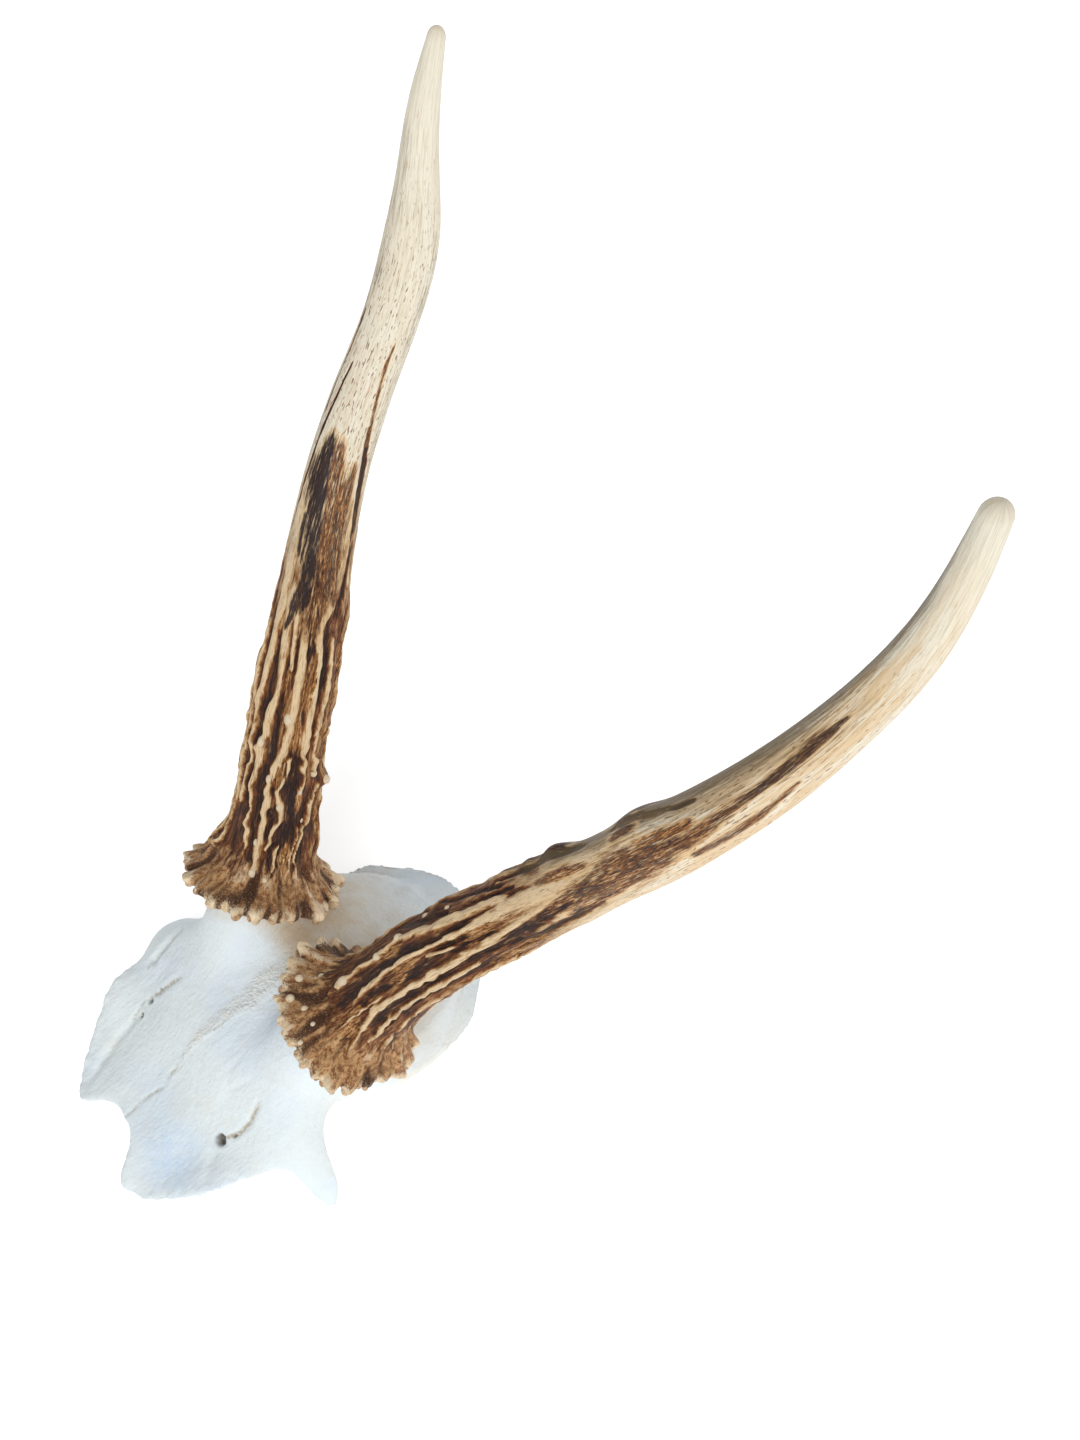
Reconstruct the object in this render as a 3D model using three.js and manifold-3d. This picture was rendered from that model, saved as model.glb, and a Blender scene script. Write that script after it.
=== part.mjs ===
// A young stag's two unbranched antlers on the sawn-off top of the skull.
//
// Units are millimetres. Shapes are drawn in the skull's own frame: X to the animal's left, Y to the back
// of the head, Z out of the forehead, with the origin midway between the two supraorbital foramina.
// seatOnTable() then tips them nose-down, so that the saw cut lies flat on Z = 0.

import * as THREE from 'three';
import { mergeVertices } from 'three/addons/utils/BufferGeometryUtils.js';
import Module from 'manifold-3d';

const wasm = await Module();
wasm.setup();

// ---- driving dimensions ----------------------------------------------------------------------------

const CUT_HEIGHT = -32.4;            // saw cut below the origin, measured along its own normal
const CUT_SLOPE = 0.09;              // fall of the saw cut per millimetre towards the back of the head
const TILT = Math.atan(CUT_SLOPE);   // turn that lays the saw cut level
const ORIGIN_SHIFT = [-0.5, -104.7]; // brings the middle of the object's footprint to X = 0, Y = 0

const BONE = 4.6;                    // thickness of the skull's roof
const EDGE_BONE = 2.8;               // thickness at its natural edges
const RIM_BONE = 5.2;                // width of the sawn rim
const SPIKE_BONE = 3;                // thickness of the postorbital spikes
const SPIKE_TIP_BACK = 1;            // how far behind its outer tip a spike's inner tip lies
const SPIKE_FRONT_INWARD = new THREE.Vector3(-0.62, 0.6, -0.5);  // from the left spike's outer to its inner
const SPIKE_BACK_INWARD = new THREE.Vector3(-0.84, -0.3, -0.45); // side, at its front and at its back
const FLANGE_RIM = 8.5;              // width of the sawn rim where the nuchal crest flares out
const ACROSS_PER_COLUMN = 2;         // mesh steps between two columns of the skull's net
const ALONG_PER_ROW = 2;             // mesh steps between two rows of it

const FORAMEN = [29, 0];             // supraorbital foramen, X and Y
const FORAMEN_RADIUS = 1.7;
const FORAMEN_DEPTH = 3.2;
const FORAMEN_TAPER = 0.7;           // its lower radius as a share of the upper one
const FORAMEN_SIDES = 8;

const BURR_CENTRE = [30, 62, 16];    // middle of the left burr's rim; the right one is its mirror
const BURR_AXIS = [0.26, 0.8, 0.54]; // direction in which the left antler leaves its pedicle
const RIM_ABOVE_SEAT = 4.6;          // burr's rim above the seal between antler and pedicle
const SEAT_RADIUS = 15.4;
const SEAT_GAP = 0.3;                // clearance at that seal

const SWELLING = [26.5, 43];           // where the forehead swells up most towards a pedicle, X and Y
const SWELLING_HEIGHT = 8.5;
const SWELLING_ACROSS = 10;            // its half-widths: sideways, to the front and to the back
const SWELLING_FRONT = 15;
const SWELLING_BACK = 7;
const PEDICLE_FOOT = [23.5, 42];       // middle of the pedicle's foot on the skull's roof, X and Y
const PEDICLE_FOOT_RADII = [14.5, 20]; // half-width and half-length of the foot
const PEDICLE_SUNK = 2.2;              // how far the foot reaches into the roof
const PEDICLE_FLARE = 10;              // how strongly its foot spreads
const PEDICLE_FLATNESS = 1.4;          // how far it leans over where it leaves the roof
const PEDICLE_LEAVE = 22;              // how long it stays straight under the seat
const PEDICLE_SIDES = 24;
const PEDICLE_RINGS = 6;

const ORBIT_WALL_BONE = 2.6;         // thickness of the inner wall of each orbit

const ANTLER_SIDES = 36;
const BEAM_STEPS = 24;               // mesh rings along the beam
const BEAM_CROWDING = 1.12;          // above 1, they crowd towards the burr
const BEAM_FROM = 14;                // distance from the burr's rim at which the beam's own rings begin
const TIP_ROUNDNESS = 1.1;           // length of the rounded tip in tip radii
const RIDGES = 18;                   // lengthwise ridges round the beam
const LOBES = 23;                    // scallops round the burr's rim

// ---- the skull's roof as a net of points -----------------------------------------------------------

// Height of the saw cut over a point of the skull frame.
const cutAt = (y) => (CUT_HEIGHT - y * Math.sin(TILT)) / Math.cos(TILT);
const sawn = (x, y) => [x, y, cutAt(y)];

// Left half of the outer surface. Each row runs from the midline to the left edge; the rows go from the
// nasal notch to the back of the head. The last point of a row lies on the frontal's edge, the orbit's
// margin, the postorbital spike or the saw cut.
const NET = [
  // nasal notch
  [[0, -27.7, 2.2], [4.5, -28.0, 2.0], [8.8, -30.5, 1.6], [12.2, -34, 1.1], [15, -37.5, 0.6], [17.5, -40, 0]],
  [[0, -20, 0.9], [7, -21.5, 1.2], [13.5, -25, 0.9], [19, -28.8, -0.6], [22.3, -33, -1.1], [25.5, -36.3, -1.8]],
  [[0, -11, 1.3], [9, -12, 1.6], [17.5, -15, 1.0], [25, -18.8, -1.6], [29.5, -22.6, -1], [33.4, -26.5, -1.2]],
  // foramina and the orbit's margin
  [[0, -2, 4.6], [10.5, -2.5, 4.4], [20, -4, 2.6], [28.2, -7, -0.9], [34, -10.5, 0.2], [40.2, -13.6, 0.2]],
  [[0, 8, 9.5], [12, 7.5, 8.7], [22.5, 6, 5.4], [31, 3, 0.8], [38, 0, 0.5], [44.3, -3.2, 0.2]],
  [[0, 17, 12.8], [13, 16.5, 12], [25, 14.5, 8.6], [34.5, 11, 3.2], [41.5, 8.2, 0.2], [47.8, 5.6, -3.9]],
  [[0, 24, 13.8], [14, 23.5, 13.1], [26.5, 21, 9.8], [37.5, 16.5, 4.8], [45.8, 12.4, -0.4], [51.6, 9.4, -11.2]],
  // postorbital spike, front and back of its root, and the notch behind it
  [[0, 30, 13.5], [14.5, 29.5, 12.8], [27.5, 26.5, 9.9], [40.4, 21, 4.6], [54.2, 14.4, -10.5], sawn(60.3, 8)],
  [[0, 36, 12.4], [14.5, 35.3, 11.8], [27.5, 32, 11], [39.8, 27, 5.4], [50, 21.5, -5.5], [55.5, 20.5, -20]],
  [[0, 42, 11.3], [14.5, 41.2, 10.7], [27.5, 38, 11.6], [38.5, 33.5, 4.6], [42.5, 31, -5], [41, 30.3, -14]],
  // wall of the braincase, from the temporal notch to the nuchal crest
  [[0, 48, 10.3], [14.5, 46.8, 9.6], [27, 44, 10.6], [37.5, 40.5, 1.5], [38, 36.6, -18], sawn(34.2, 32.5)],
  [[0, 56, 7.8], [14.5, 54.5, 6.4], [27.5, 52, 5], [38, 48.5, -7], [40.6, 46.5, -24], sawn(39.2, 45)],
  [[0, 65, 1.5], [14.5, 63.5, -0.6], [27.5, 61.5, -6], [38.6, 59, -16], [42.4, 57.8, -28], sawn(41, 57)],
  [[0, 75, -8], [14, 73.8, -10], [27, 71.8, -15.5], [38.2, 69.8, -23.5], [41.2, 69, -32.5], sawn(40.9, 67.4)],
  [[0, 84, -17.5], [13, 83, -19.5], [25, 80.8, -24.5], [34.6, 78, -30], [37, 76, -35.6], sawn(39.6, 75.9)],
  [[0, 93, -27.5], [11.5, 92, -29], [22, 89.5, -32.5], [29, 86, -35.4], [31.2, 83, -37], sawn(36.6, 83.9)],
  [[0, 100, -35.5], [8.5, 99, -36], [16, 96.5, -37], [21.5, 93, -38.2], [24.8, 90, -38.8], sawn(30.2, 90.5)],
  // back of the sawn rim
  [sawn(0, 106), sawn(6, 105.7), sawn(12, 104.3), sawn(17.5, 101.5), sawn(22, 98.4), sawn(26.2, 95)],
];
// Inner wall of the left orbit, from the braincase forward: X and Y of its top, its middle and its lower
// edge, and the height of that edge where it runs up to the forehead instead of being sawn.
const ORBIT_WALL = [
  { top: [35.4, 42], middle: [35.6, 39.8], foot: [33, 37.6] },
  { top: [31.5, 30], middle: [29, 29], foot: [29.4, 28] },
  { top: [27.4, 17.5], middle: [25, 17], foot: [26, 17] },
  { top: [24.2, 6], middle: [22, 6], foot: [23.5, 6] },
  { top: [21.5, -5], middle: [20, -5], foot: [21.5, -5], lowest: -26 },
  { top: [19.5, -14], middle: [18.4, -14], foot: [19.5, -14], lowest: -16 },
  { top: [17.5, -22], middle: [16.8, -22], foot: [17.5, -22], lowest: -7 },
];
const SPIKE_ROW = 7;
// The right orbit sits further forward than the left one: by how much, row by row, at its edge, and the
// share of that which each column feels.
const RIGHT_FORWARD = [0, 0, 0, 0.8, 3.8, 5.2, 6, 5, 2.5];
const RIGHT_WIDER = [0, 0, 0.6, 2.6, 2, 0.6, 1.6, 2, 2.4, 1.2];
const RIGHT_SHARE = [0, 0, 0, 0.3, 0.85, 1];
const FIRST_SAWN_ROW = 10;
const FIRST_FLANGE_ROW = 13;
const TEMPLE_COLUMN = 3.3;           // outermost part of the net that still faces up
const BACK_RIM_RADIUS = 60;          // the rim's width is measured towards a point this far in front of it
const BACK_RIM_CONVERGES = 0.6;      // share of a point's own offset by which that point moves inwards
const LAST_ROW = NET.length - 1;
const EDGE_COLUMN = NET[0].length - 1;

// ---- the antlers -----------------------------------------------------------------------------------

// Middle line of each beam from the burr to the tip.
const LEFT_BEAM = [[42.5, 98, 42], [59.5, 136.5, 65], [78.5, 170.5, 92.5], [94.5, 204.5, 120],
  [101, 242.5, 145], [100.5, 263.5, 177]];
const RIGHT_BEAM = [[-46, 96.5, 42], [-64, 133.5, 68], [-80.5, 171.5, 94.5], [-90, 200.5, 110],
  [-96.5, 228, 129.5], [-100.5, 248, 156], [-99.5, 263, 176.5]];

// Radius along the beam, as [distance from the burr's rim, radius]; the tip is rounded on its own.
const LEFT_GIRTH = [[17, 14.9], [30, 13.9], [50, 13.2], [75, 12.1], [101, 11.1], [127, 9.9], [153, 9.2],
  [183, 7.8], [210, 6.5], [241, 5.0], [258, 4.1], [268, 3.5]];
const RIGHT_GIRTH = [[17, 15], [30, 14.3], [52, 13.5], [84, 13.0], [104, 11.4], [133, 9.9], [161, 9.1],
  [189, 8.3], [216, 7.9], [233, 6.0], [249, 4.6], [264, 3.0]];

// The burr, from the seal at its foot over the rim to the beam: [distance above the rim, radius, relief].
const BURR = [[-3.4, 17.2, 0.3], [-2.0, 22.4, 0.7], [-0.7, 24.4, 1], [1.2, 24.8, 1], [2.9, 23.2, 0.7],
  [5.4, 19.6, 0.45], [9.2, 16.9, 0.3]];

// Lumps that stand out of burr and beam: [distance from the rim, degrees round the beam, height, half-width].
// 0 degrees is the animal's right, 90 its front and top.
const LEFT_LUMPS = [[92, 20, 1.0, 4], [102, 21, 1.2, 4], [113, 20, 2.0, 5], [146, 18, 1.4, 8],
  [66, 28, 1.2, 4], [0, 185, -2.2, 5], [28, 175, 0.8, 5]];
const RIGHT_LUMPS = [[11, 50, 4.4, 9], [0, 112, 2.4, 9], [42, 212, 3, 3], [53, 98, 1.3, 3], [64, 113, 1.1, 3],
  [65, 140, 1.1, 3], [39, 103, 1.4, 3.5], [19, 215, 1.6, 5], [99, 228, 1, 9]];

const GROOVE_DEPTH = 1.1;            // of the beam's lengthwise grooves, near the burr
const GROOVES_BEGIN = [4, 12];       // they rise to their full depth between these distances from the rim,
const GROOVES_FADE = 0.35;           // and fade from this share of the distance at which they have died out:
const LEFT_GROOVES_END = 150;
const RIGHT_GROOVES_END = 165;
const WANDER = 1.6;                  // how far a ridge wanders sideways, in ridges,
const WANDER_CELLS = { around: 7, along: 34 };   // and the size of that drift: cells round the beam, and mm
const STRENGTH_CELLS = { around: 9, along: 19 }; // the same for the ridges' uneven height
const LOBE_HEIGHT = 1.3;
const LOBE_UNEVENNESS = 0.9;
const LOBE_CELLS = 13;
const NORMAL_STEP = 0.05;            // step in rows and columns over which a normal is measured
const SAMPLE_STEP = 0.1;             // step in rows and columns between samples of the roof
const MERGE_WITHIN = 1e-4;

// ---- small tools -----------------------------------------------------------------------------------

const vec = (p) => new THREE.Vector3(...p);
const smooth = (edge0, edge1, x) => THREE.MathUtils.smoothstep(x, edge0, edge1);

// Natural cubic spline through ys at xs, for numbers or lists of numbers. Returns a function of x.
function spline(xs, ys) {
  const n = xs.length;
  const rows = ys.map((y) => (Array.isArray(y) ? y : [y]));
  const width = rows[0].length;
  const bend = rows.map(() => new Array(width).fill(0));
  const h = xs.slice(1).map((x, i) => x - xs[i]);
  for (let k = 0; k < width; k++) {
    const c = new Array(n).fill(0);
    const d = new Array(n).fill(0);
    for (let i = 1; i < n - 1; i++) {
      const rise = (rows[i + 1][k] - rows[i][k]) / h[i] - (rows[i][k] - rows[i - 1][k]) / h[i - 1];
      const m = 2 * (h[i - 1] + h[i]) - h[i - 1] * c[i - 1];
      c[i] = h[i] / m;
      d[i] = (6 * rise - h[i - 1] * d[i - 1]) / m;
    }
    for (let i = n - 2; i > 0; i--) bend[i][k] = d[i] - c[i] * bend[i + 1][k];
  }
  return (x) => {
    let i = 0;
    while (i < n - 2 && x > xs[i + 1]) i++;
    const a = (xs[i + 1] - x) / h[i];
    const b = 1 - a;
    const out = rows[i].map((y, k) => a * y + b * rows[i + 1][k]
      + ((a ** 3 - a) * bend[i][k] + (b ** 3 - b) * bend[i + 1][k]) * h[i] ** 2 / 6);
    return Array.isArray(ys[0]) ? out : out[0];
  };
}

// Repeatable noise from 0 to 1 on whole-number cells, and its smooth version that wraps in x.
const cellNoise = (i, j, seed) => {
  const v = Math.sin(i * 127.1 + j * 311.7 + seed * 74.7) * 43758.5453;
  return v - Math.floor(v);
};
function wrapNoise(x, y, period, seed) {
  const i = Math.floor(x);
  const j = Math.floor(y);
  const fx = smooth(0, 1, x - i);
  const fy = smooth(0, 1, y - j);
  const wrap = (k) => ((k % period) + period) % period;
  const at = (k, l) => cellNoise(wrap(k), l, seed);
  const low = at(i, j) * (1 - fx) + at(i + 1, j) * fx;
  const high = at(i, j + 1) * (1 - fx) + at(i + 1, j + 1) * fx;
  return low * (1 - fy) + high * fy;
}

// A closed mesh from points and triangles, as a solid that can be joined and cut.
function solidOf(points, triangles) {
  let geometry = new THREE.BufferGeometry();
  geometry.setAttribute('position', new THREE.Float32BufferAttribute(points.flat(), 3));
  geometry.setIndex(triangles.flat());
  geometry = mergeVertices(geometry, MERGE_WITHIN);
  return solidOfGeometry(geometry);
}
function solidOfGeometry(geometry) {
  return new wasm.Manifold(new wasm.Mesh({
    numProp: 3,
    vertProperties: new Float32Array(geometry.attributes.position.array),
    triVerts: new Uint32Array(geometry.index.array),
  }));
}
function meshOf(name, solid, material) {
  const mesh = solid.getMesh();
  const geometry = new THREE.BufferGeometry();
  geometry.setAttribute('position', new THREE.BufferAttribute(mesh.vertProperties, 3));
  geometry.setIndex(new THREE.BufferAttribute(mesh.triVerts, 1));
  geometry.computeVertexNormals();
  const out = new THREE.Mesh(geometry, material);
  out.name = name;
  return out;
}

// Turns a point of the skull frame so that the saw cut is level and lies on Z = 0.
function seatOnTable([x, y, z]) {
  const c = Math.cos(TILT);
  const s = Math.sin(TILT);
  return [x + ORIGIN_SHIFT[0], y * c - z * s + ORIGIN_SHIFT[1], y * s + z * c - CUT_HEIGHT];
}

// Side walls and ends of a tube of rings, each ring a list of points, closed by a middle point at each end.
function tube(rings, start, end) {
  const n = rings[0].length;
  const points = [start, ...rings.flat(), end];
  const at = (i, j) => 1 + i * n + (j % n);
  const triangles = [];
  for (let j = 0; j < n; j++) {
    triangles.push([0, at(0, j + 1), at(0, j)]);
    for (let i = 0; i + 1 < rings.length; i++) {
      triangles.push([at(i, j), at(i, j + 1), at(i + 1, j + 1)]);
      triangles.push([at(i, j), at(i + 1, j + 1), at(i + 1, j)]);
    }
    triangles.push([points.length - 1, at(rings.length - 1, j), at(rings.length - 1, j + 1)]);
  }
  return solidOf(points, triangles);
}

// ---- skull cap -------------------------------------------------------------------------------------

// Both halves of a net, from the right edge over the midline to the left edge.
const mirrored = (net) => net.map((row, r) => {
  const forward = RIGHT_FORWARD[r] ?? 0;
  const wider = RIGHT_WIDER[r] ?? 0;
  const right = row.map(([x, y, z], c) => [-x - wider * RIGHT_SHARE[c], y - forward * RIGHT_SHARE[c], z]);
  return [...right.slice(1).reverse(), ...row];
});

// Point of a net at a row and a column number, either of which may lie between two of them.
function surface(net) {
  const full = mirrored(net);
  const rowNumbers = full.map((_, r) => r);
  const columns = full[0].map((_, c) => spline(rowNumbers, full.map((row) => row[c])));
  const columnNumbers = columns.map((_, c) => c - EDGE_COLUMN);
  return (row) => spline(columnNumbers, columns.map((column) => column(row)));
}

// Lifts a point of the outer surface where the forehead swells up to the pedicles.
function swollen([x, y, z]) {
  const across = (Math.abs(x) - SWELLING[0]) / SWELLING_ACROSS;
  const along = (y - SWELLING[1]) / (y < SWELLING[1] ? SWELLING_FRONT : SWELLING_BACK);
  return [x, y, z + SWELLING_HEIGHT * Math.exp(-(across ** 2 + along ** 2))];
}

// The outer surface without that swelling, which the inner one follows, and with it.
const plainRow = surface(NET);
const outerRow = (row) => {
  const at = plainRow(row);
  return (column) => swollen(at(column));
};

// Outward normal of either of them at a row and column of the net.
function outward(surfaceRow, row, column) {
  const r0 = Math.max(row - NORMAL_STEP, 0);
  const r1 = Math.min(row + NORMAL_STEP, LAST_ROW);
  const c0 = Math.max(column - NORMAL_STEP, -EDGE_COLUMN);
  const c1 = Math.min(column + NORMAL_STEP, EDGE_COLUMN);
  const along = vec(surfaceRow(r1)(column)).sub(vec(surfaceRow(r0)(column)));
  const across = vec(surfaceRow(row)(c1)).sub(vec(surfaceRow(row)(c0)));
  return across.cross(along).normalize();
}

// The inner surface's net: the outer one moved in by the bone's thickness, and along the cut at the rim.
function innerNet() {
  return NET.map((row, r) => row.map((point, c) => {
    const normal = outward(plainRow, r, c);
    const inward = new THREE.Vector3(-normal.x, -normal.y, 0);
    const onBack = r === LAST_ROW;
    const onSide = r >= FIRST_SAWN_ROW && c === EDGE_COLUMN;
    if (c === 0) inward.x = 0;
    if (onBack) inward.set(-point[0] * BACK_RIM_CONVERGES, -BACK_RIM_RADIUS, 0);
    if (onBack || onSide) {
      const width = r >= FIRST_FLANGE_ROW ? FLANGE_RIM : RIM_BONE;
      const [x, y] = vec(point).add(inward.normalize().multiplyScalar(width)).toArray();
      return sawn(x, y);
    }
    const onSpike = Math.abs(r - SPIKE_ROW) <= 1 && c === EDGE_COLUMN - 1;
    const nearEdge = c === EDGE_COLUMN || r === 0 || onSpike;
    const bone = nearEdge ? EDGE_BONE : BONE;
    if (r === SPIKE_ROW && c === EDGE_COLUMN) return sawn(point[0] - SPIKE_BONE, point[1] + SPIKE_TIP_BACK);
    if (Math.abs(r - SPIKE_ROW) === 1 && c === EDGE_COLUMN) {
      const across = r < SPIKE_ROW ? SPIKE_FRONT_INWARD : SPIKE_BACK_INWARD;
      return vec(point).addScaledVector(across, SPIKE_BONE).toArray();
    }
    const nearRim = (r > FIRST_SAWN_ROW && c === EDGE_COLUMN - 1) || r === LAST_ROW - 1;
    const toRim = nearRim ? inward.normalize().multiplyScalar(RIM_BONE) : normal.multiplyScalar(-bone);
    return vec(point).add(toRim).toArray();
  }));
}

// Points of a surface on the mesh's grid, turned onto the table; sawn edges are put exactly on Z = 0.
function grid(at) {
  const rows = [];
  for (let i = 0; i <= LAST_ROW * ALONG_PER_ROW; i++) {
    const row = at(i / ALONG_PER_ROW);
    const line = [];
    for (let j = -EDGE_COLUMN * ACROSS_PER_COLUMN; j <= EDGE_COLUMN * ACROSS_PER_COLUMN; j++) {
      const point = seatOnTable(row(j / ACROSS_PER_COLUMN));
      const side = Math.abs(j) === EDGE_COLUMN * ACROSS_PER_COLUMN;
      const onCut = i === LAST_ROW * ALONG_PER_ROW || (side && i >= FIRST_SAWN_ROW * ALONG_PER_ROW)
        || (side && i === SPIKE_ROW * ALONG_PER_ROW);
      point[2] = onCut ? 0 : Math.max(point[2], 0);
      line.push(point);
    }
    rows.push(line);
  }
  return rows;
}

function skullRoof() {
  const outer = grid(outerRow);
  const inner = grid(surface(innerNet()));
  const rows = outer.length;
  const columns = outer[0].length;
  const out = (i, j) => i * columns + j;
  const inn = (i, j) => rows * columns + i * columns + j;
  const triangles = [];
  for (let i = 0; i + 1 < rows; i++) {
    for (let j = 0; j + 1 < columns; j++) {
      triangles.push([out(i, j), out(i, j + 1), out(i + 1, j + 1)]);
      triangles.push([out(i, j), out(i + 1, j + 1), out(i + 1, j)]);
      triangles.push([inn(i, j), inn(i + 1, j + 1), inn(i, j + 1)]);
      triangles.push([inn(i, j), inn(i + 1, j), inn(i + 1, j + 1)]);
    }
  }
  const stitch = (a, b, c, d) => triangles.push([a, b, c], [a, c, d]);
  const lastRow = rows - 1;
  const lastColumn = columns - 1;
  for (let j = 0; j < lastColumn; j++) {
    stitch(out(0, j + 1), out(0, j), inn(0, j), inn(0, j + 1));
    stitch(out(lastRow, j), out(lastRow, j + 1), inn(lastRow, j + 1), inn(lastRow, j));
  }
  for (let i = 0; i < lastRow; i++) {
    stitch(out(i, 0), out(i + 1, 0), inn(i + 1, 0), inn(i, 0));
    stitch(out(i + 1, lastColumn), out(i, lastColumn), inn(i, lastColumn), inn(i + 1, lastColumn));
  }
  return solidOf([...outer.flat(), ...inner.flat()], triangles);
}

// Point and normal of the outer surface nearest to X and Y of the forehead, from samples of it.
// The steep side walls below the temples aren't sampled.
const roofSamples = [];
for (let row = 0; row <= LAST_ROW; row += SAMPLE_STEP) {
  const line = outerRow(row);
  for (let column = -TEMPLE_COLUMN; column <= TEMPLE_COLUMN; column += SAMPLE_STEP) {
    roofSamples.push({ row, column, point: line(column) });
  }
}
function roofAt(x, y) {
  let best = roofSamples[0];
  let nearest = Infinity;
  for (const sample of roofSamples) {
    const distance = (sample.point[0] - x) ** 2 + (sample.point[1] - y) ** 2;
    if (distance < nearest) [nearest, best] = [distance, sample];
  }
  return { point: vec(best.point), normal: outward(outerRow, best.row, best.column) };
}
const roofHeight = (x, y) => roofAt(x, y).point.z;

// Axis, foot and two cross directions of one antler's seal: E2 points to the front and up, E1 sideways.
function sealFrame(side) {
  const axis = new THREE.Vector3(side * BURR_AXIS[0], BURR_AXIS[1], BURR_AXIS[2]).normalize();
  const e2 = new THREE.Vector3(0, -BURR_AXIS[2], BURR_AXIS[1]);
  e2.addScaledVector(axis, -e2.dot(axis)).normalize();
  const e1 = e2.clone().cross(axis);
  const rimCentre = new THREE.Vector3(side * BURR_CENTRE[0], BURR_CENTRE[1], BURR_CENTRE[2]);
  const foot = rimCentre.clone().addScaledVector(axis, -RIM_ABOVE_SEAT);
  return { axis, e1, e2, rimCentre, foot };
}

// A pedicle: its foot follows the skull's roof, and it sweeps up to a flat round seat under the burr.
function pedicle(side) {
  const { axis, e1, e2, foot } = sealFrame(side);
  const seat = foot.clone().addScaledVector(axis, -SEAT_GAP);
  const rings = [];
  for (let i = 0; i <= PEDICLE_RINGS; i++) {
    const t = i / PEDICLE_RINGS;
    const ring = [];
    for (let j = 0; j < PEDICLE_SIDES; j++) {
      const angle = 2 * Math.PI * j / PEDICLE_SIDES;
      const x = side * PEDICLE_FOOT[0] - PEDICLE_FOOT_RADII[0] * Math.cos(angle);
      const y = PEDICLE_FOOT[1] - PEDICLE_FOOT_RADII[1] * Math.sin(angle);
      const { point: start, normal } = roofAt(x, y);
      start.addScaledVector(normal, -PEDICLE_SUNK);
      const end = seat.clone().addScaledVector(e1, SEAT_RADIUS * Math.cos(angle))
        .addScaledVector(e2, SEAT_RADIUS * Math.sin(angle));
      const lead = new THREE.Vector3(Math.cos(angle), Math.sin(angle), 0);
      lead.addScaledVector(normal, -lead.dot(normal)).setLength(PEDICLE_FLATNESS).add(normal);
      lead.multiplyScalar(PEDICLE_FLARE);
      const leave = axis.clone().multiplyScalar(PEDICLE_LEAVE);
      const point = start.multiplyScalar(2 * t ** 3 - 3 * t ** 2 + 1)
        .addScaledVector(lead, t ** 3 - 2 * t ** 2 + t)
        .addScaledVector(end, -2 * t ** 3 + 3 * t ** 2)
        .addScaledVector(leave, t ** 3 - t ** 2);
      ring.push(seatOnTable(point.toArray()));
    }
    rings.push(ring);
  }
  const [x, y] = [side * PEDICLE_FOOT[0], PEDICLE_FOOT[1]];
  const footMiddle = seatOnTable([x, y, roofHeight(x, y) - PEDICLE_SUNK]);
  return tube(rings, footMiddle, seatOnTable(seat.toArray()));
}

// The thin inner wall of an orbit, which hangs from the roof and ends on the saw cut or above it.
function orbitWall(side) {
  const feet = ORBIT_WALL.map(({ foot: [x, y] }) => new THREE.Vector3(x, y, 0));
  const rings = ORBIT_WALL.map(({ top, middle, foot, lowest }, i) => {
    const run = feet[Math.min(i + 1, feet.length - 1)].clone().sub(feet[Math.max(i - 1, 0)]).normalize();
    const across = new THREE.Vector3(-run.y, run.x, 0).multiplyScalar(ORBIT_WALL_BONE / 2);
    const high = roofHeight(...top) - PEDICLE_SUNK;
    const low = lowest ?? cutAt(foot[1]);
    const corner = ([x, y], z, face) => {
      const [px, py, pz] = seatOnTable([side * (x + face * across.x), y + face * across.y, z]);
      return [px, py, lowest === undefined && z === low ? 0 : pz];
    };
    const halfway = (high + low) / 2;
    const ring = [corner(top, high, 1), corner(middle, halfway, 1), corner(foot, low, 1),
      corner(foot, low, -1), corner(middle, halfway, -1), corner(top, high, -1)];
    return side > 0 ? ring.reverse() : ring;
  });
  const middleOf = (ring) => ring.reduce((sum, p) => sum.add(vec(p)), new THREE.Vector3())
    .divideScalar(ring.length).toArray();
  return tube(rings, middleOf(rings[0]), middleOf(rings[rings.length - 1]));
}

// The small round hole of a supraorbital foramen, as the body to cut away.
function foramen(side) {
  const lowRadius = FORAMEN_RADIUS * FORAMEN_TAPER;
  const drill = new THREE.CylinderGeometry(FORAMEN_RADIUS, lowRadius, 2 * FORAMEN_DEPTH, FORAMEN_SIDES);
  drill.rotateX(Math.PI / 2);
  drill.translate(...seatOnTable([side * FORAMEN[0], FORAMEN[1], roofHeight(side * FORAMEN[0], FORAMEN[1])]));
  drill.deleteAttribute('normal');
  drill.deleteAttribute('uv');
  return solidOfGeometry(mergeVertices(drill, MERGE_WITHIN));
}

function skullCap(material) {
  let solid = skullRoof();
  for (const side of [1, -1]) {
    solid = solid.add(orbitWall(side)).add(pedicle(side)).subtract(foramen(side));
  }
  return meshOf('skull_cap', solid, material);
}

// ---- antlers ---------------------------------------------------------------------------------------

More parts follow.
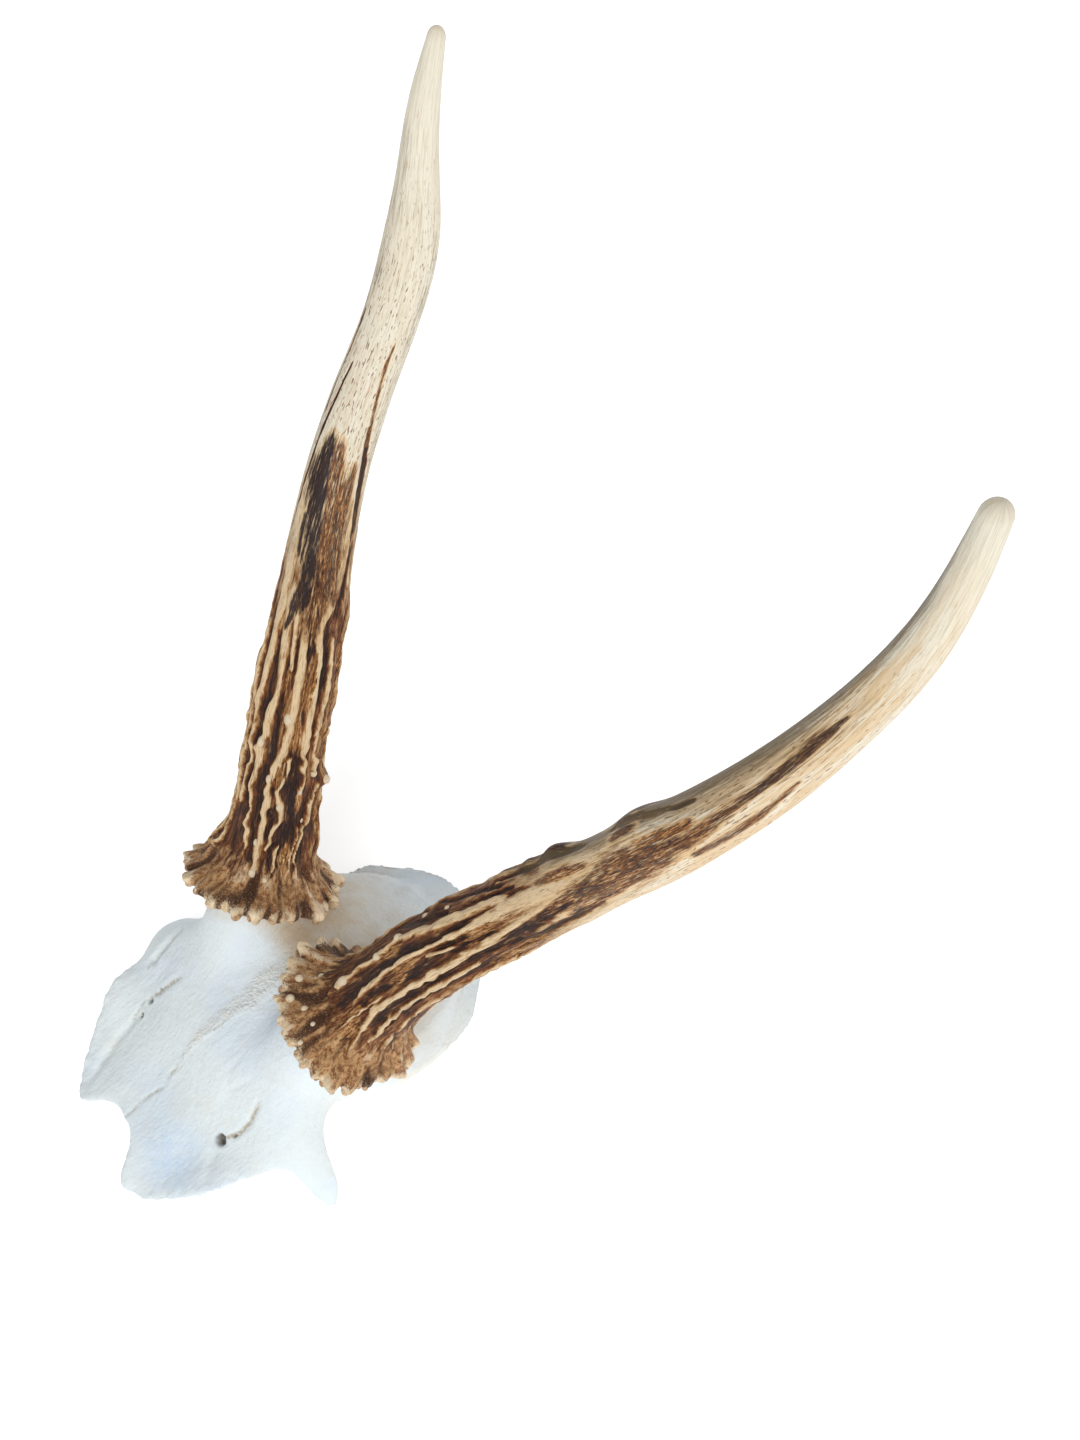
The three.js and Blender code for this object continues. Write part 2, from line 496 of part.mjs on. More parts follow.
// Middle line of an antler as rings of cross directions that don't twist, by distance from the burr's rim.
function beamPath(side, beam) {
  const { axis, e2, rimCentre, foot } = sealFrame(side);
  const points = [foot, rimCentre, ...beam.map(vec)];
  const distances = [-RIM_ABOVE_SEAT];
  for (let i = 1; i < points.length; i++) {
    distances.push(distances[i - 1] + points[i].distanceTo(points[i - 1]));
  }
  const centre = spline(distances, points.map((p) => p.toArray()));
  const end = distances[distances.length - 1];
  let up = e2.clone();
  const frameAt = (s) => {
    const ahead = vec(centre(Math.min(s + 0.5, end)));
    const tangent = s <= 0 ? axis.clone() : ahead.sub(vec(centre(Math.min(s, end - 0.5)))).normalize();
    up = up.clone().addScaledVector(tangent, -up.dot(tangent)).normalize();
    const middle = s <= 0 ? rimCentre.clone().addScaledVector(axis, s) : vec(centre(s));
    return { middle, tangent, e1: up.clone().cross(tangent), e2: up.clone() };
  };
  return { frameAt, end };
}

// How far the surface stands off the plain round beam: wandering ridges, the burr's lobes and lumps.
function relief(s, angle, radius, spec, burrShare) {
  const turn = angle / (2 * Math.PI);
  const noise = ({ around, along }, seed) => wrapNoise(turn * around, s / along, around, seed);
  const wander = WANDER * (noise(WANDER_CELLS, spec.seed) - 0.5);
  const strength = 0.5 + noise(STRENGTH_CELLS, spec.seed + 5);
  const fade = 1 - smooth(spec.groovesEnd * GROOVES_FADE, spec.groovesEnd, s);
  const grooves = GROOVE_DEPTH * Math.cos(2 * Math.PI * (turn * RIDGES + wander)) * strength * fade;
  const uneven = LOBE_UNEVENNESS * (wrapNoise(turn * LOBE_CELLS, 0, LOBE_CELLS, spec.seed + 9) - 0.5);
  const lobe = Math.cos(2 * Math.PI * turn * LOBES) + uneven;
  let height = grooves * (1 - burrShare) * smooth(...GROOVES_BEGIN, s) + LOBE_HEIGHT * lobe * burrShare;
  for (const [at, degrees, rise, reach] of spec.lumps) {
    const off = Math.atan2(Math.sin(angle - degrees * Math.PI / 180), Math.cos(angle - degrees * Math.PI / 180));
    height += rise * Math.exp(-(((s - at) / reach) ** 2 + (off * radius / reach) ** 2));
  }
  return height;
}

function antler(spec, material) {
  const { frameAt, end } = beamPath(spec.side, spec.beam);
  const girth = spline(spec.girth.map(([s]) => s), spec.girth.map(([, r]) => r));
  const stations = BURR.map(([s, radius, share]) => ({ s, radius, share }));
  const tipRadius = spec.girth[spec.girth.length - 1][1];
  const roundFrom = end - tipRadius * TIP_ROUNDNESS;
  for (let i = 0; i <= BEAM_STEPS; i++) {
    const s = BEAM_FROM + (roundFrom - BEAM_FROM) * (i / BEAM_STEPS) ** BEAM_CROWDING;
    stations.push({ s, radius: girth(s), share: 0 });
  }
  for (const quarter of [30, 60]) {
    const turn = quarter * Math.PI / 180;
    stations.push({
      s: roundFrom + (end - roundFrom) * Math.sin(turn), radius: girth(roundFrom) * Math.cos(turn), share: 0,
    });
  }
  const ring = (s, reachAt) => {
    const { middle, e1, e2 } = frameAt(s);
    return Array.from({ length: ANTLER_SIDES }, (_, j) => {
      const angle = 2 * Math.PI * j / ANTLER_SIDES;
      const reach = reachAt(angle);
      return seatOnTable(middle.clone().addScaledVector(e1, reach * Math.cos(angle))
        .addScaledVector(e2, reach * Math.sin(angle)).toArray());
    });
  };
  const rings = [ring(-RIM_ABOVE_SEAT, () => SEAT_RADIUS)];
  for (const { s, radius, share } of stations) {
    rings.push(ring(s, (angle) => radius + relief(s, angle, radius, spec, share)));
  }
  const foot = seatOnTable(frameAt(-RIM_ABOVE_SEAT).middle.toArray());
  const tip = seatOnTable(frameAt(end).middle.toArray());
  return meshOf(spec.name, tube(rings, foot, tip), material);
}

// ---- the object ------------------------------------------------------------------------------------

const bone = new THREE.MeshStandardMaterial({ color: 0xeef0ee, roughness: 0.62, metalness: 0 });
const antlerBone = new THREE.MeshStandardMaterial({ color: 0xa5804f, roughness: 0.5, metalness: 0 });

const trophy = new THREE.Group();
trophy.add(skullCap(bone));
trophy.add(antler({
  name: 'right_antler', side: -1, beam: RIGHT_BEAM, girth: RIGHT_GIRTH, lumps: RIGHT_LUMPS,
  groovesEnd: RIGHT_GROOVES_END, seed: 3,
}, antlerBone));
trophy.add(antler({
  name: 'left_antler', side: 1, beam: LEFT_BEAM, girth: LEFT_GIRTH, lumps: LEFT_LUMPS,
  groovesEnd: LEFT_GROOVES_END, seed: 8,
}, antlerBone));

export default trophy;
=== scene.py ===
"""Looks of a young stag's two unbranched antlers on the sawn-off top of the skull.

Lengths are millimetres in the skull's own frame, as in the CAD source: X to the animal's left, Y to the back
of the head, Z out of the forehead, origin midway between the supraorbital foramina. seat() turns a point so
that the saw cut lies on the floor; objects are written in metres.
"""

import math
from types import SimpleNamespace

import bpy
import numpy as np
from mathutils import Matrix


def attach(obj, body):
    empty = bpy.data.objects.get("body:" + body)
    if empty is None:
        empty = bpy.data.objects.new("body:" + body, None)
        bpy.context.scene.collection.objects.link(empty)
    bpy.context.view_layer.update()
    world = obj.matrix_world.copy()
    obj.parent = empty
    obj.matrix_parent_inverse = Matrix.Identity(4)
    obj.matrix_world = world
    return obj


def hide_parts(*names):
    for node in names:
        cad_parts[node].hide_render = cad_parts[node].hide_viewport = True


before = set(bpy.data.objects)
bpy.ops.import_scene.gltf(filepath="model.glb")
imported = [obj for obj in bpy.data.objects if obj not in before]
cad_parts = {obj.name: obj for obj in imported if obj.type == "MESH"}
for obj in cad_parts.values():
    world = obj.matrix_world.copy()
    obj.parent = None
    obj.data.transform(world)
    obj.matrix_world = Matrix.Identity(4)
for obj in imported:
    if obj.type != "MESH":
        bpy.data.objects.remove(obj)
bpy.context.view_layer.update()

MM = 0.001
TAU = 2 * math.pi

# ---- driving dimensions, the same as the CAD model's ----

CUT_HEIGHT = -32.4
CUT_SLOPE = 0.09
TILT = math.atan(CUT_SLOPE)
ORIGIN_SHIFT = (-0.5, -104.7)

BONE, EDGE_BONE, RIM_BONE, SPIKE_BONE, FLANGE_RIM = 4.6, 2.8, 5.2, 3.0, 8.5
SPIKE_FRONT_INWARD = (-0.62, 0.6, -0.5)
SPIKE_BACK_INWARD = (-0.84, -0.3, -0.45)

BURR_CENTRE = (30, 62, 16)
BURR_AXIS = (0.26, 0.8, 0.54)
RIM_ABOVE_SEAT = 4.6
SEAT_RADIUS = 15.4
SEAT_GAP = 0.3

SWELLING = (26.5, 43)
SWELLING_HEIGHT, SWELLING_ACROSS, SWELLING_FRONT, SWELLING_BACK = 8.5, 10, 15, 7
PEDICLE_FOOT = (23.5, 42)
PEDICLE_FOOT_RADII = (14.5, 20)
PEDICLE_SUNK, PEDICLE_FLARE, PEDICLE_FLATNESS, PEDICLE_LEAVE = 2.2, 10, 1.4, 22


def cut_at(y):
    return (CUT_HEIGHT - y * math.sin(TILT)) / math.cos(TILT)


def sawn(x, y):
    return (x, y, cut_at(y))


NET = [
    [(0, -27.7, 2.2), (4.5, -28, 2), (8.8, -30.5, 1.6), (12.2, -34, 1.1), (15, -37.5, 0.6), (17.5, -40, 0)],
    [(0, -20, 0.9), (7, -21.5, 1.2), (13.5, -25, 0.9), (19, -28.8, -0.6), (22.3, -33, -1.1),
     (25.5, -36.3, -1.8)],
    [(0, -11, 1.3), (9, -12, 1.6), (17.5, -15, 1), (25, -18.8, -1.6), (29.5, -22.6, -1),
     (33.4, -26.5, -1.2)],
    [(0, -2, 4.6), (10.5, -2.5, 4.4), (20, -4, 2.6), (28.2, -7, -0.9), (34, -10.5, 0.2), (40.2, -13.6, 0.2)],
    [(0, 8, 9.5), (12, 7.5, 8.7), (22.5, 6, 5.4), (31, 3, 0.8), (38, 0, 0.5), (44.3, -3.2, 0.2)],
    [(0, 17, 12.8), (13, 16.5, 12), (25, 14.5, 8.6), (34.5, 11, 3.2), (41.5, 8.2, 0.2), (47.8, 5.6, -3.9)],
    [(0, 24, 13.8), (14, 23.5, 13.1), (26.5, 21, 9.8), (37.5, 16.5, 4.8), (45.8, 12.4, -0.4),
     (51.6, 9.4, -11.2)],
    [(0, 30, 13.5), (14.5, 29.5, 12.8), (27.5, 26.5, 9.9), (40.4, 21, 4.6),
     (54.2, 14.4, -10.5), sawn(60.3, 8)],
    [(0, 36, 12.4), (14.5, 35.3, 11.8), (27.5, 32, 11), (39.8, 27, 5.4), (50, 21.5, -5.5),
     (55.5, 20.5, -20)],
    [(0, 42, 11.3), (14.5, 41.2, 10.7), (27.5, 38, 11.6), (38.5, 33.5, 4.6), (42.5, 31, -5),
     (41, 30.3, -14)],
    [(0, 48, 10.3), (14.5, 46.8, 9.6), (27, 44, 10.6), (37.5, 40.5, 1.5), (38, 36.6, -18), sawn(34.2, 32.5)],
    [(0, 56, 7.8), (14.5, 54.5, 6.4), (27.5, 52, 5), (38, 48.5, -7), (40.6, 46.5, -24), sawn(39.2, 45)],
    [(0, 65, 1.5), (14.5, 63.5, -0.6), (27.5, 61.5, -6), (38.6, 59, -16), (42.4, 57.8, -28), sawn(41, 57)],
    [(0, 75, -8), (14, 73.8, -10), (27, 71.8, -15.5), (38.2, 69.8, -23.5),
     (41.2, 69, -32.5), sawn(40.9, 67.4)],
    [(0, 84, -17.5), (13, 83, -19.5), (25, 80.8, -24.5), (34.6, 78, -30), (37, 76, -35.6), sawn(39.6, 75.9)],
    [(0, 93, -27.5), (11.5, 92, -29), (22, 89.5, -32.5), (29, 86, -35.4), (31.2, 83, -37), sawn(36.6, 83.9)],
    [(0, 100, -35.5), (8.5, 99, -36), (16, 96.5, -37), (21.5, 93, -38.2),
     (24.8, 90, -38.8), sawn(30.2, 90.5)],
    [sawn(0, 106), sawn(6, 105.7), sawn(12, 104.3), sawn(17.5, 101.5), sawn(22, 98.4), sawn(26.2, 95)],
]
SPIKE_ROW, FIRST_SAWN_ROW, FIRST_FLANGE_ROW = 7, 10, 13
RIGHT_FORWARD = [0, 0, 0, 0.8, 3.8, 5.2, 6, 5, 2.5]
RIGHT_WIDER = [0, 0, 0.6, 2.6, 2, 0.6, 1.6, 2, 2.4, 1.2]
RIGHT_SHARE = [0, 0, 0, 0.3, 0.85, 1]
LAST_ROW = len(NET) - 1
EDGE_COLUMN = len(NET[0]) - 1
TEMPLE_COLUMN = 3.3
BACK_RIM_RADIUS, BACK_RIM_CONVERGES = 60, 0.6

# Inner wall of the left orbit: top, middle and lower edge, and the height of that edge where it isn't sawn.
ORBIT_WALL = [
    ((35.4, 42), (35.6, 39.8), (33, 37.6), None), ((31.5, 30), (29, 29), (29.4, 28), None),
    ((27.4, 17.5), (25, 17), (26, 17), None), ((24.2, 6), (22, 6), (23.5, 6), None),
    ((21.5, -5), (20, -5), (21.5, -5), -26), ((19.5, -14), (18.4, -14), (19.5, -14), -16),
    ((17.5, -22), (16.8, -22), (17.5, -22), -7),
]
ORBIT_WALL_BONE = 2.6

BURR = [(-3.4, 17.2, 0.3), (-2.0, 22.4, 0.7), (-0.7, 24.4, 1), (1.2, 24.8, 1), (2.9, 23.2, 0.7),
        (5.4, 19.6, 0.45), (9.2, 16.9, 0.3)]
RIDGES = 23
LOBES = 23
TIP_ROUNDNESS = 1.1

LEFT = dict(
    node="left_antler", side=1, seed=8, grooves_end=150,
    beam=[(42.5, 98, 42), (59.5, 136.5, 65), (78.5, 170.5, 92.5), (94.5, 204.5, 120), (101, 242.5, 145),
          (100.5, 263.5, 177)],
    girth=[(17, 14.9), (30, 13.9), (50, 13.2), (75, 12.1), (101, 11.1), (127, 9.9), (153, 9.2), (183, 7.8),
           (210, 6.5), (241, 5.0), (258, 4.1), (268, 3.5)],
    lumps=[(92, 20, 1.0, 4), (102, 21, 1.2, 4), (113, 20, 2.0, 5), (146, 18, 1.4, 8), (66, 28, 1.2, 4),
           (0, 185, -2.2, 5), (28, 175, 0.8, 5)],
    seen=(25, 180), dark_burr=(-20, 90), warmth=1, shake=3,
)
RIGHT = dict(
    node="right_antler", side=-1, seed=3, grooves_end=165,
    beam=[(-46, 96.5, 42), (-64, 133.5, 68), (-80.5, 171.5, 94.5), (-90, 200.5, 110), (-96.5, 228, 129.5),
          (-100.5, 248, 156), (-99.5, 263, 176.5)],
    girth=[(17, 15), (30, 14.3), (52, 13.5), (84, 13.0), (104, 11.4), (133, 9.9), (161, 9.1), (189, 8.3),
           (216, 7.9), (233, 6.0), (249, 4.6), (264, 3.0)],
    lumps=[(11, 50, 4.4, 9), (0, 112, 2.4, 9), (42, 212, 3, 3), (53, 98, 1.3, 3), (64, 113, 1.1, 3),
           (65, 140, 1.1, 3), (39, 103, 1.4, 3.5), (19, 215, 1.6, 5), (99, 228, 1, 9)],
    seen=(62, 205), dark_burr=(105, 190), warmth=0.15, shake=6,
)

# ---- markings on the antlers ----
# A line is a list of (distance from the burr's rim, degrees, half-width). Ridges are cream and stand out,
# grooves are dark and sunk, stains only colour the surface; a stain's first entry is its tone, from 0 for
# purple-black to 1 for a mottled brown. Rust is (distance, degrees, half-length, half-width).

RIGHT["ridges"] = [
    [(112, 88, 1.5), (87, 96, 1.3), (60, 89, 0.6), (48, 93, 0.45), (32, 88, 0.35)],
    [(102, 112, 1.6), (73, 121, 1.0), (52, 110, 1.5), (32, 105, 0.6), (15, 109, 0.7)],
    [(96, 127, 0.6), (81, 133, 0.6)],
    [(100, 139, 0.6), (82, 146, 1.2), (52, 143, 1.1), (42, 129, 1.3), (29, 127, 0.8), (18, 125, 1.6),
     (8, 126, 1.5)],
    [(49, 153, 0.5), (39, 142, 0.8), (34, 146, 1.4), (29, 147, 0.9), (19, 136, 0.4)],
    [(101, 175, 1.1), (94, 163, 0.9), (78, 173, 0.6), (55, 170, 1.4), (44, 175, 0.35), (40, 172, 0.5)],
    [(91, 188, 0.35), (77, 194, 0.5), (55, 186, 0.7), (46, 192, 0.7)],
    [(147, 177, 0.6), (126, 190, 0.75), (114, 188, 0.7)],
    [(119, 157, 0.5), (110, 160, 0.6), (103, 170, 0.4)],
    [(40, 200, 0.6), (18, 177, 0.4), (10, 176, 0.4)],
    [(26, 176, 0.35), (10, 167, 0.35)],
    [(19, 162, 0.35), (9, 158, 0.35)],
    [(20, 152, 0.35), (10, 146, 0.35)],
    [(92, 70, 0.5), (60, 74, 0.45), (12, 66, 0.5)],
    [(75, 58, 0.5), (40, 60, 0.5), (14, 54, 0.5)],
]
RIGHT["grooves"] = [
    [(90, 104, 0.5), (71, 108, 1.2), (64, 104, 1.5), (30, 98, 1.2)],
    [(95, 121, 0.5), (73, 129, 0.6), (52, 126, 1.6), (40, 118, 0.9), (33, 117, 1.2), (15, 118, 0.9)],
    [(92, 134, 0.6), (75, 138, 0.5)],
    [(101, 150, 1.2), (82, 156, 1.2)],
    [(96, 178, 1.3), (72, 184, 1.0)],
    [(52, 158, 1.0), (44, 163, 1.7), (36, 161, 2.2), (28, 160, 2.2), (13, 149, 1.6)],
    [(38, 136, 0.9), (23, 136, 0.7)],
    [(112, 82, 0.5), (68, 84, 0.7)],
    [(158, 175, 0.5), (147, 190, 1.0), (138, 197, 1.2), (118, 206, 1.0), (108, 203, 1.0), (101, 192, 0.9)],
    [(174, 97, 0.3), (125, 66, 0.6), (108, 62, 0.7), (85, 63, 0.8)],
    [(190, 73, 0.3), (160, 68, 0.5)],
]
RIGHT["stains"] = [
    (0.0, [(150, 114, 1.4), (141, 114, 3.9), (135, 119, 4.2), (128, 123, 3.4), (113, 134, 2.8),
          (104, 135, 1.8)]),
    (0.05, [(128, 101, 0.6), (118, 104, 0.7)]),
    (0.1, [(107, 121, 0.8), (101, 120, 1.3), (94, 113, 0.6)]),
    (0.8, [(145, 169, 0.8), (139, 169, 1.2), (104, 178, 0.9)]),
    (0.85, [(149, 134, 1.4), (141, 142, 3.2), (132, 152, 4.2), (121, 155, 4.8), (110, 154, 4.6),
          (98, 150, 2.6)]),
    (0.9, [(184, 167, 0.3), (178, 165, 0.45), (162, 175, 0.4)]),
    (0.7, [(164, 173, 0.4), (154, 184, 0.4)]),
]

RIGHT["rust"] = [(59, 155, 8, 1.8), (45, 142, 6, 2.6), (35, 174, 4, 1.4), (75, 163, 10, 2.8),
                 (76, 130, 7, 1.0), (105, 142, 9, 3.4), (121, 161, 10, 3), (15, 165, 6, 3),
                 (60, 200, 14, 3)]

LEFT["ridges"] = [
    [(20, 64, 1.8), (27, 64, 1.0), (34, 62, 0.8), (40, 61, 1.5), (45, 58, 1.0), (50, 55, 1.3),
     (65, 66, 1.2), (95, 71, 0.6)],
    [(20, 103, 0.5), (30, 94, 0.9), (46, 88, 0.8), (74, 89, 0.8), (104, 84, 2.0), (118, 80, 2.0),
     (134, 64, 2.2)],
    [(61, 98, 0.5), (73, 105, 0.3)],
    [(9, 138, 0.8), (25, 126, 1.2), (33, 121, 0.9), (56, 124, 1.0), (83, 119, 0.9), (116, 104, 0.5)],
    [(16, 150, 0.6), (41, 141, 0.6), (74, 143, 0.3)],
    [(13, 172, 0.5), (26, 165, 0.5), (43, 164, 0.4), (60, 164, 0.6), (84, 171, 0.7)],
    [(14, 112, 0.4), (36, 112, 0.4)],
]
LEFT["grooves"] = [
    [(20, 88, 1.3), (41, 82, 1.9), (93, 81, 0.6)],
    [(23, 107, 0.9), (32, 102, 1.2), (38, 104, 1.2), (42, 110, 0.8)],
    [(45, 112, 0.8), (61, 106, 1.2), (86, 109, 0.4)],
    [(66, 96, 0.7), (79, 96, 1.0), (84, 97, 0.5)],
    [(26, 137, 1.2), (37, 130, 1.5), (64, 131, 1.0), (95, 127, 1.6), (114, 115, 1.6)],
    [(21, 148, 0.7), (38, 147, 1.3), (51, 148, 0.8), (69, 149, 1.1), (76, 155, 1.0), (108, 144, 1.3),
     (126, 143, 0.8)],
    [(50, 30, 1.0), (63, 47, 0.7), (70, 51, 0.5)],
    [(60, 22, 0.8), (80, 34, 1.0), (92, 48, 1.1)],
    [(79, 71, 0.6), (87, 68, 0.5), (113, 75, 0.7), (121, 72, 0.6)],
    [(80, 53, 0.5), (98, 59, 0.5)],
    [(90, 36, 0.8), (105, 38, 1.3), (117, 32, 1.5), (125, 38, 1.0)],
    [(142, 40, 1.1), (151, 40, 1.3), (170, 60, 0.5)],
]
LEFT["stains"] = [
    (0.75, [(112, 116, 1.4), (142, 106, 4.6), (150, 108, 3.8), (165, 113, 1.4), (183, 104, 0.9)]),
    (0.3, [(180, 105, 0.7), (199, 101, 1.2), (204, 98, 1.1), (213, 101, 0.4)]),
    (0.85, [(163, 141, 0.7), (181, 146, 0.9), (194, 138, 0.4)]),
    (0.5, [(143, 56, 1.2), (147, 56, 1.2)]),
    (0.3, [(137, 24, 1.0), (146, 19, 1.9), (155, 12, 1.0)]),
    (0.3, [(109, 18, 1.2), (115, 18, 1.6)]),
    (0.3, [(100, 21, 1.2), (104, 21, 1.2)]),
    (0.3, [(89, 18, 1.2), (94, 18, 1.2)]),
    (1.0, [(116, 136, 0.8), (127, 137, 1.2), (154, 128, 0.8)]),
    (1.0, [(150, 84, 1.0), (158, 88, 1.4), (166, 92, 1.0)]),
    (1.0, [(110, 72, 0.8), (121, 73, 1.4), (128, 76, 0.8)]),
]

LEFT["rust"] = [(52, 93, 7, 2.2), (46, 105, 4, 1.7), (22, 106, 4, 1.6), (47, 66, 5, 1.7), (83, 99, 7, 1.9),
                (96, 88, 9, 2.0), (16, 120, 6, 4), (90, 160, 16, 2.5)]

# Broad soft darkening of the plain surface: (strength, line). The lines that run along the beams' edges are
# painted shade of the sides turned from the light; the others are soft brown tints, and the last left one a
# spot at the tip.
RIGHT["shades"] = [
    # painted shade along the right beam's two edges
    (0.3, [(120, 215, 3), (150, 210, 3), (185, 205, 3), (215, 205, 2)]),
    (0.3, [(95, 70, 3), (130, 68, 3), (170, 66, 3), (205, 70, 3), (235, 80, 2)]),
    # a brown tint near the tip
    (0.34, [(202, 78, 3), (222, 88, 4), (242, 92, 2.5)]),
]
LEFT["shades"] = [
    # painted shade along the left beam's upper edge, which is turned from the light
    (1, [(110, 22, 6), (140, 22, 7), (170, 18, 8), (200, 16, 7.5), (225, 14, 5.5), (250, 10, 4.5),
         (262, 5, 3)]),
    (0.4, [(150, 60, 4), (175, 80, 4), (200, 95, 4), (215, 108, 3)]),
    (0.35, [(95, 150, 3), (120, 150, 3), (145, 148, 2)]),
    (0.12, [(267.5, 85, 1.2), (271, 85, 1.2)]),
]

# Pearls that stand on the surface: (distance, degrees, radius, stretch along the beam).
LEFT["pearls"] = [
    (3, 64, 1.7, 1.2), (1, 78, 1.6, 1.1), (5, 74, 1.5, 1.0), (1, 40, 1.6, 1.0), (4, 45, 1.7, 1.2),
    (8, 38, 1.5, 1.2), (22, 64, 2.0, 1.5), (40, 61, 1.7, 1.2), (50, 52, 1.5, 1.3), (6, 92, 1.1, 1),
    (60, 34, 1.2, 1.4), (70, 40, 1.1, 1.3), (2, 100, 1.2, 1.1),
]
RIGHT["pearls"] = [
    (10, 126, 1.7, 1.2), (9, 142, 1.3, 1), (42, 210, 1.9, 1.0), (45, 193, 1.5, 1.0), (54, 109, 1.5, 1.6),
    (64, 141, 1.9, 1.3), (63, 170, 1.0, 1.1), (43, 128, 1.3, 1.5), (34, 146, 1.5, 1.0), (39, 172, 1.0, 1.0),
    (20, 122, 1.3, 1.4), (28, 184, 1.0, 1.2),
]

# ---- small tools ----


def spline(xs, ys, at):
    """Natural cubic spline through ys (of any shape after the first axis) at xs, read at the numbers at."""
    xs = np.asarray(xs, float)
    ys = np.asarray(ys, float)
    at = np.asarray(at, float)
    n = len(xs)
    h = np.diff(xs)
    a = np.eye(n)
    b = np.zeros_like(ys)
    for i in range(1, n - 1):
        a[i, i - 1:i + 2] = h[i - 1], 2 * (h[i - 1] + h[i]), h[i]
        b[i] = 6 * ((ys[i + 1] - ys[i]) / h[i] - (ys[i] - ys[i - 1]) / h[i - 1])
    bend = np.linalg.solve(a, b.reshape(n, -1)).reshape(ys.shape)
    i = np.clip(np.searchsorted(xs, at) - 1, 0, n - 2)
    shape = (-1,) + (1,) * (ys.ndim - 1)
    width = h[i].reshape(shape)
    p = ((xs[i + 1] - at) / h[i]).reshape(shape)
    q = 1 - p
    return p * ys[i] + q * ys[i + 1] + ((p ** 3 - p) * bend[i] + (q ** 3 - q) * bend[i + 1]) * width ** 2 / 6


def smooth(low, high, x):
    t = np.clip((x - low) / (high - low), 0, 1)
    return t * t * (3 - 2 * t)


def cell_noise(i, j, seed):
    v = np.sin(i * 127.1 + j * 311.7 + seed * 74.7) * 43758.5453
    return v - np.floor(v)


def wrap_noise(x, y, period, seed):
    """Smooth noise from 0 to 1 on unit cells; it repeats in x after period."""
    i, j = np.floor(x), np.floor(y)
    fx, fy = smooth(0, 1, x - i), smooth(0, 1, y - j)
    i0, i1 = i % period, (i + 1) % period
    low = cell_noise(i0, j, seed) * (1 - fx) + cell_noise(i1, j, seed) * fx
    high = cell_noise(i0, j + 1, seed) * (1 - fx) + cell_noise(i1, j + 1, seed) * fx
    return low * (1 - fy) + high * fy


def ripple(around, s, cells, length, seed, shift=0):
    """Noise from -1 to 1 that closes round the beam: so many cells round it, each of a length along it."""
    return 2 * wrap_noise(around * cells + shift, s / length, cells, seed) - 1


def noise2(x, y, size, seed):
    """The same noise over a plane, in cells of the given size."""
    return 2 * wrap_noise(x / size + 1000, y / size + 1000, 1e6, seed) - 1


def wrapped(off, whole):
    """The difference of two angles, brought to at most half a turn either way."""
    return (off + whole / 2) % whole - whole / 2


def unit(v):
    v = np.asarray(v, float)
    return v / np.linalg.norm(v, axis=-1, keepdims=True)


def turn(v):
    v = np.asarray(v, float)
    c, s = math.cos(TILT), math.sin(TILT)
    return np.stack([v[..., 0], v[..., 1] * c - v[..., 2] * s, v[..., 1] * s + v[..., 2] * c], -1)


def turn_back(v):
    v = np.asarray(v, float)
    c, s = math.cos(TILT), math.sin(TILT)
    return np.stack([v[..., 0], v[..., 1] * c + v[..., 2] * s, -v[..., 1] * s + v[..., 2] * c], -1)


SEAT_SHIFT = np.array([ORIGIN_SHIFT[0], ORIGIN_SHIFT[1], -CUT_HEIGHT])


def seat(p):
    """Skull frame to row frame, both in millimetres."""
    return turn(p) + SEAT_SHIFT


def unseat(p):
    return turn_back(np.asarray(p, float) - SEAT_SHIFT)


def grid_faces(rows, columns, wrap=False, flip=False, start=0):
    i, j = np.meshgrid(np.arange(rows - 1), np.arange(columns if wrap else columns - 1), indexing="ij")
    k = (j + 1) % columns
    quads = [i * columns + j, i * columns + k, (i + 1) * columns + k, (i + 1) * columns + j]
    if flip:
        quads.reverse()
    return np.stack([q.ravel() for q in quads], -1) + start


def mesh_object(name, points, faces, attributes=()):
    """Object from row-frame millimetres, with float or vector attributes on its points."""
    mesh = bpy.data.meshes.new(name)
    mesh.from_pydata((np.asarray(points) * MM).tolist(), [], [list(f) for f in faces])
    for label, values in dict(attributes).items():
        values = np.asarray(values, np.float32)
        vector = values.ndim == 2
        data = mesh.attributes.new(label, "FLOAT_VECTOR" if vector else "FLOAT", "POINT").data
        data.foreach_set("vector" if vector else "value", values.ravel())
    mesh.update()
    obj = bpy.data.objects.new(name, mesh)
    bpy.context.scene.collection.objects.link(obj)
    mesh.polygons.foreach_set("use_smooth", [True] * len(mesh.polygons))
    return obj


# ---- skull cap: shapes ----


def mirrored(net):
    full = []
    for r, row in enumerate(net):
        forward = RIGHT_FORWARD[r] if r < len(RIGHT_FORWARD) else 0
        wider = RIGHT_WIDER[r] if r < len(RIGHT_WIDER) else 0
        right = [(-x - wider * RIGHT_SHARE[c], y - forward * RIGHT_SHARE[c], z)
                 for c, (x, y, z) in enumerate(row)]
        full.append(right[:0:-1] + list(row))
    return np.array(full, float)


def surface(net, rows, columns):
    along = spline(np.arange(LAST_ROW + 1), mirrored(net), rows)
    across = spline(np.arange(-EDGE_COLUMN, EDGE_COLUMN + 1), along.transpose(1, 0, 2), columns)
    return across.transpose(1, 0, 2)


def swollen(p):
    across = (np.abs(p[..., 0]) - SWELLING[0]) / SWELLING_ACROSS
    depth = p[..., 1] - SWELLING[1]
    along = depth / np.where(depth < 0, SWELLING_FRONT, SWELLING_BACK)
    out = p.copy()
    out[..., 2] += SWELLING_HEIGHT * np.exp(-(across ** 2 + along ** 2))
    return out


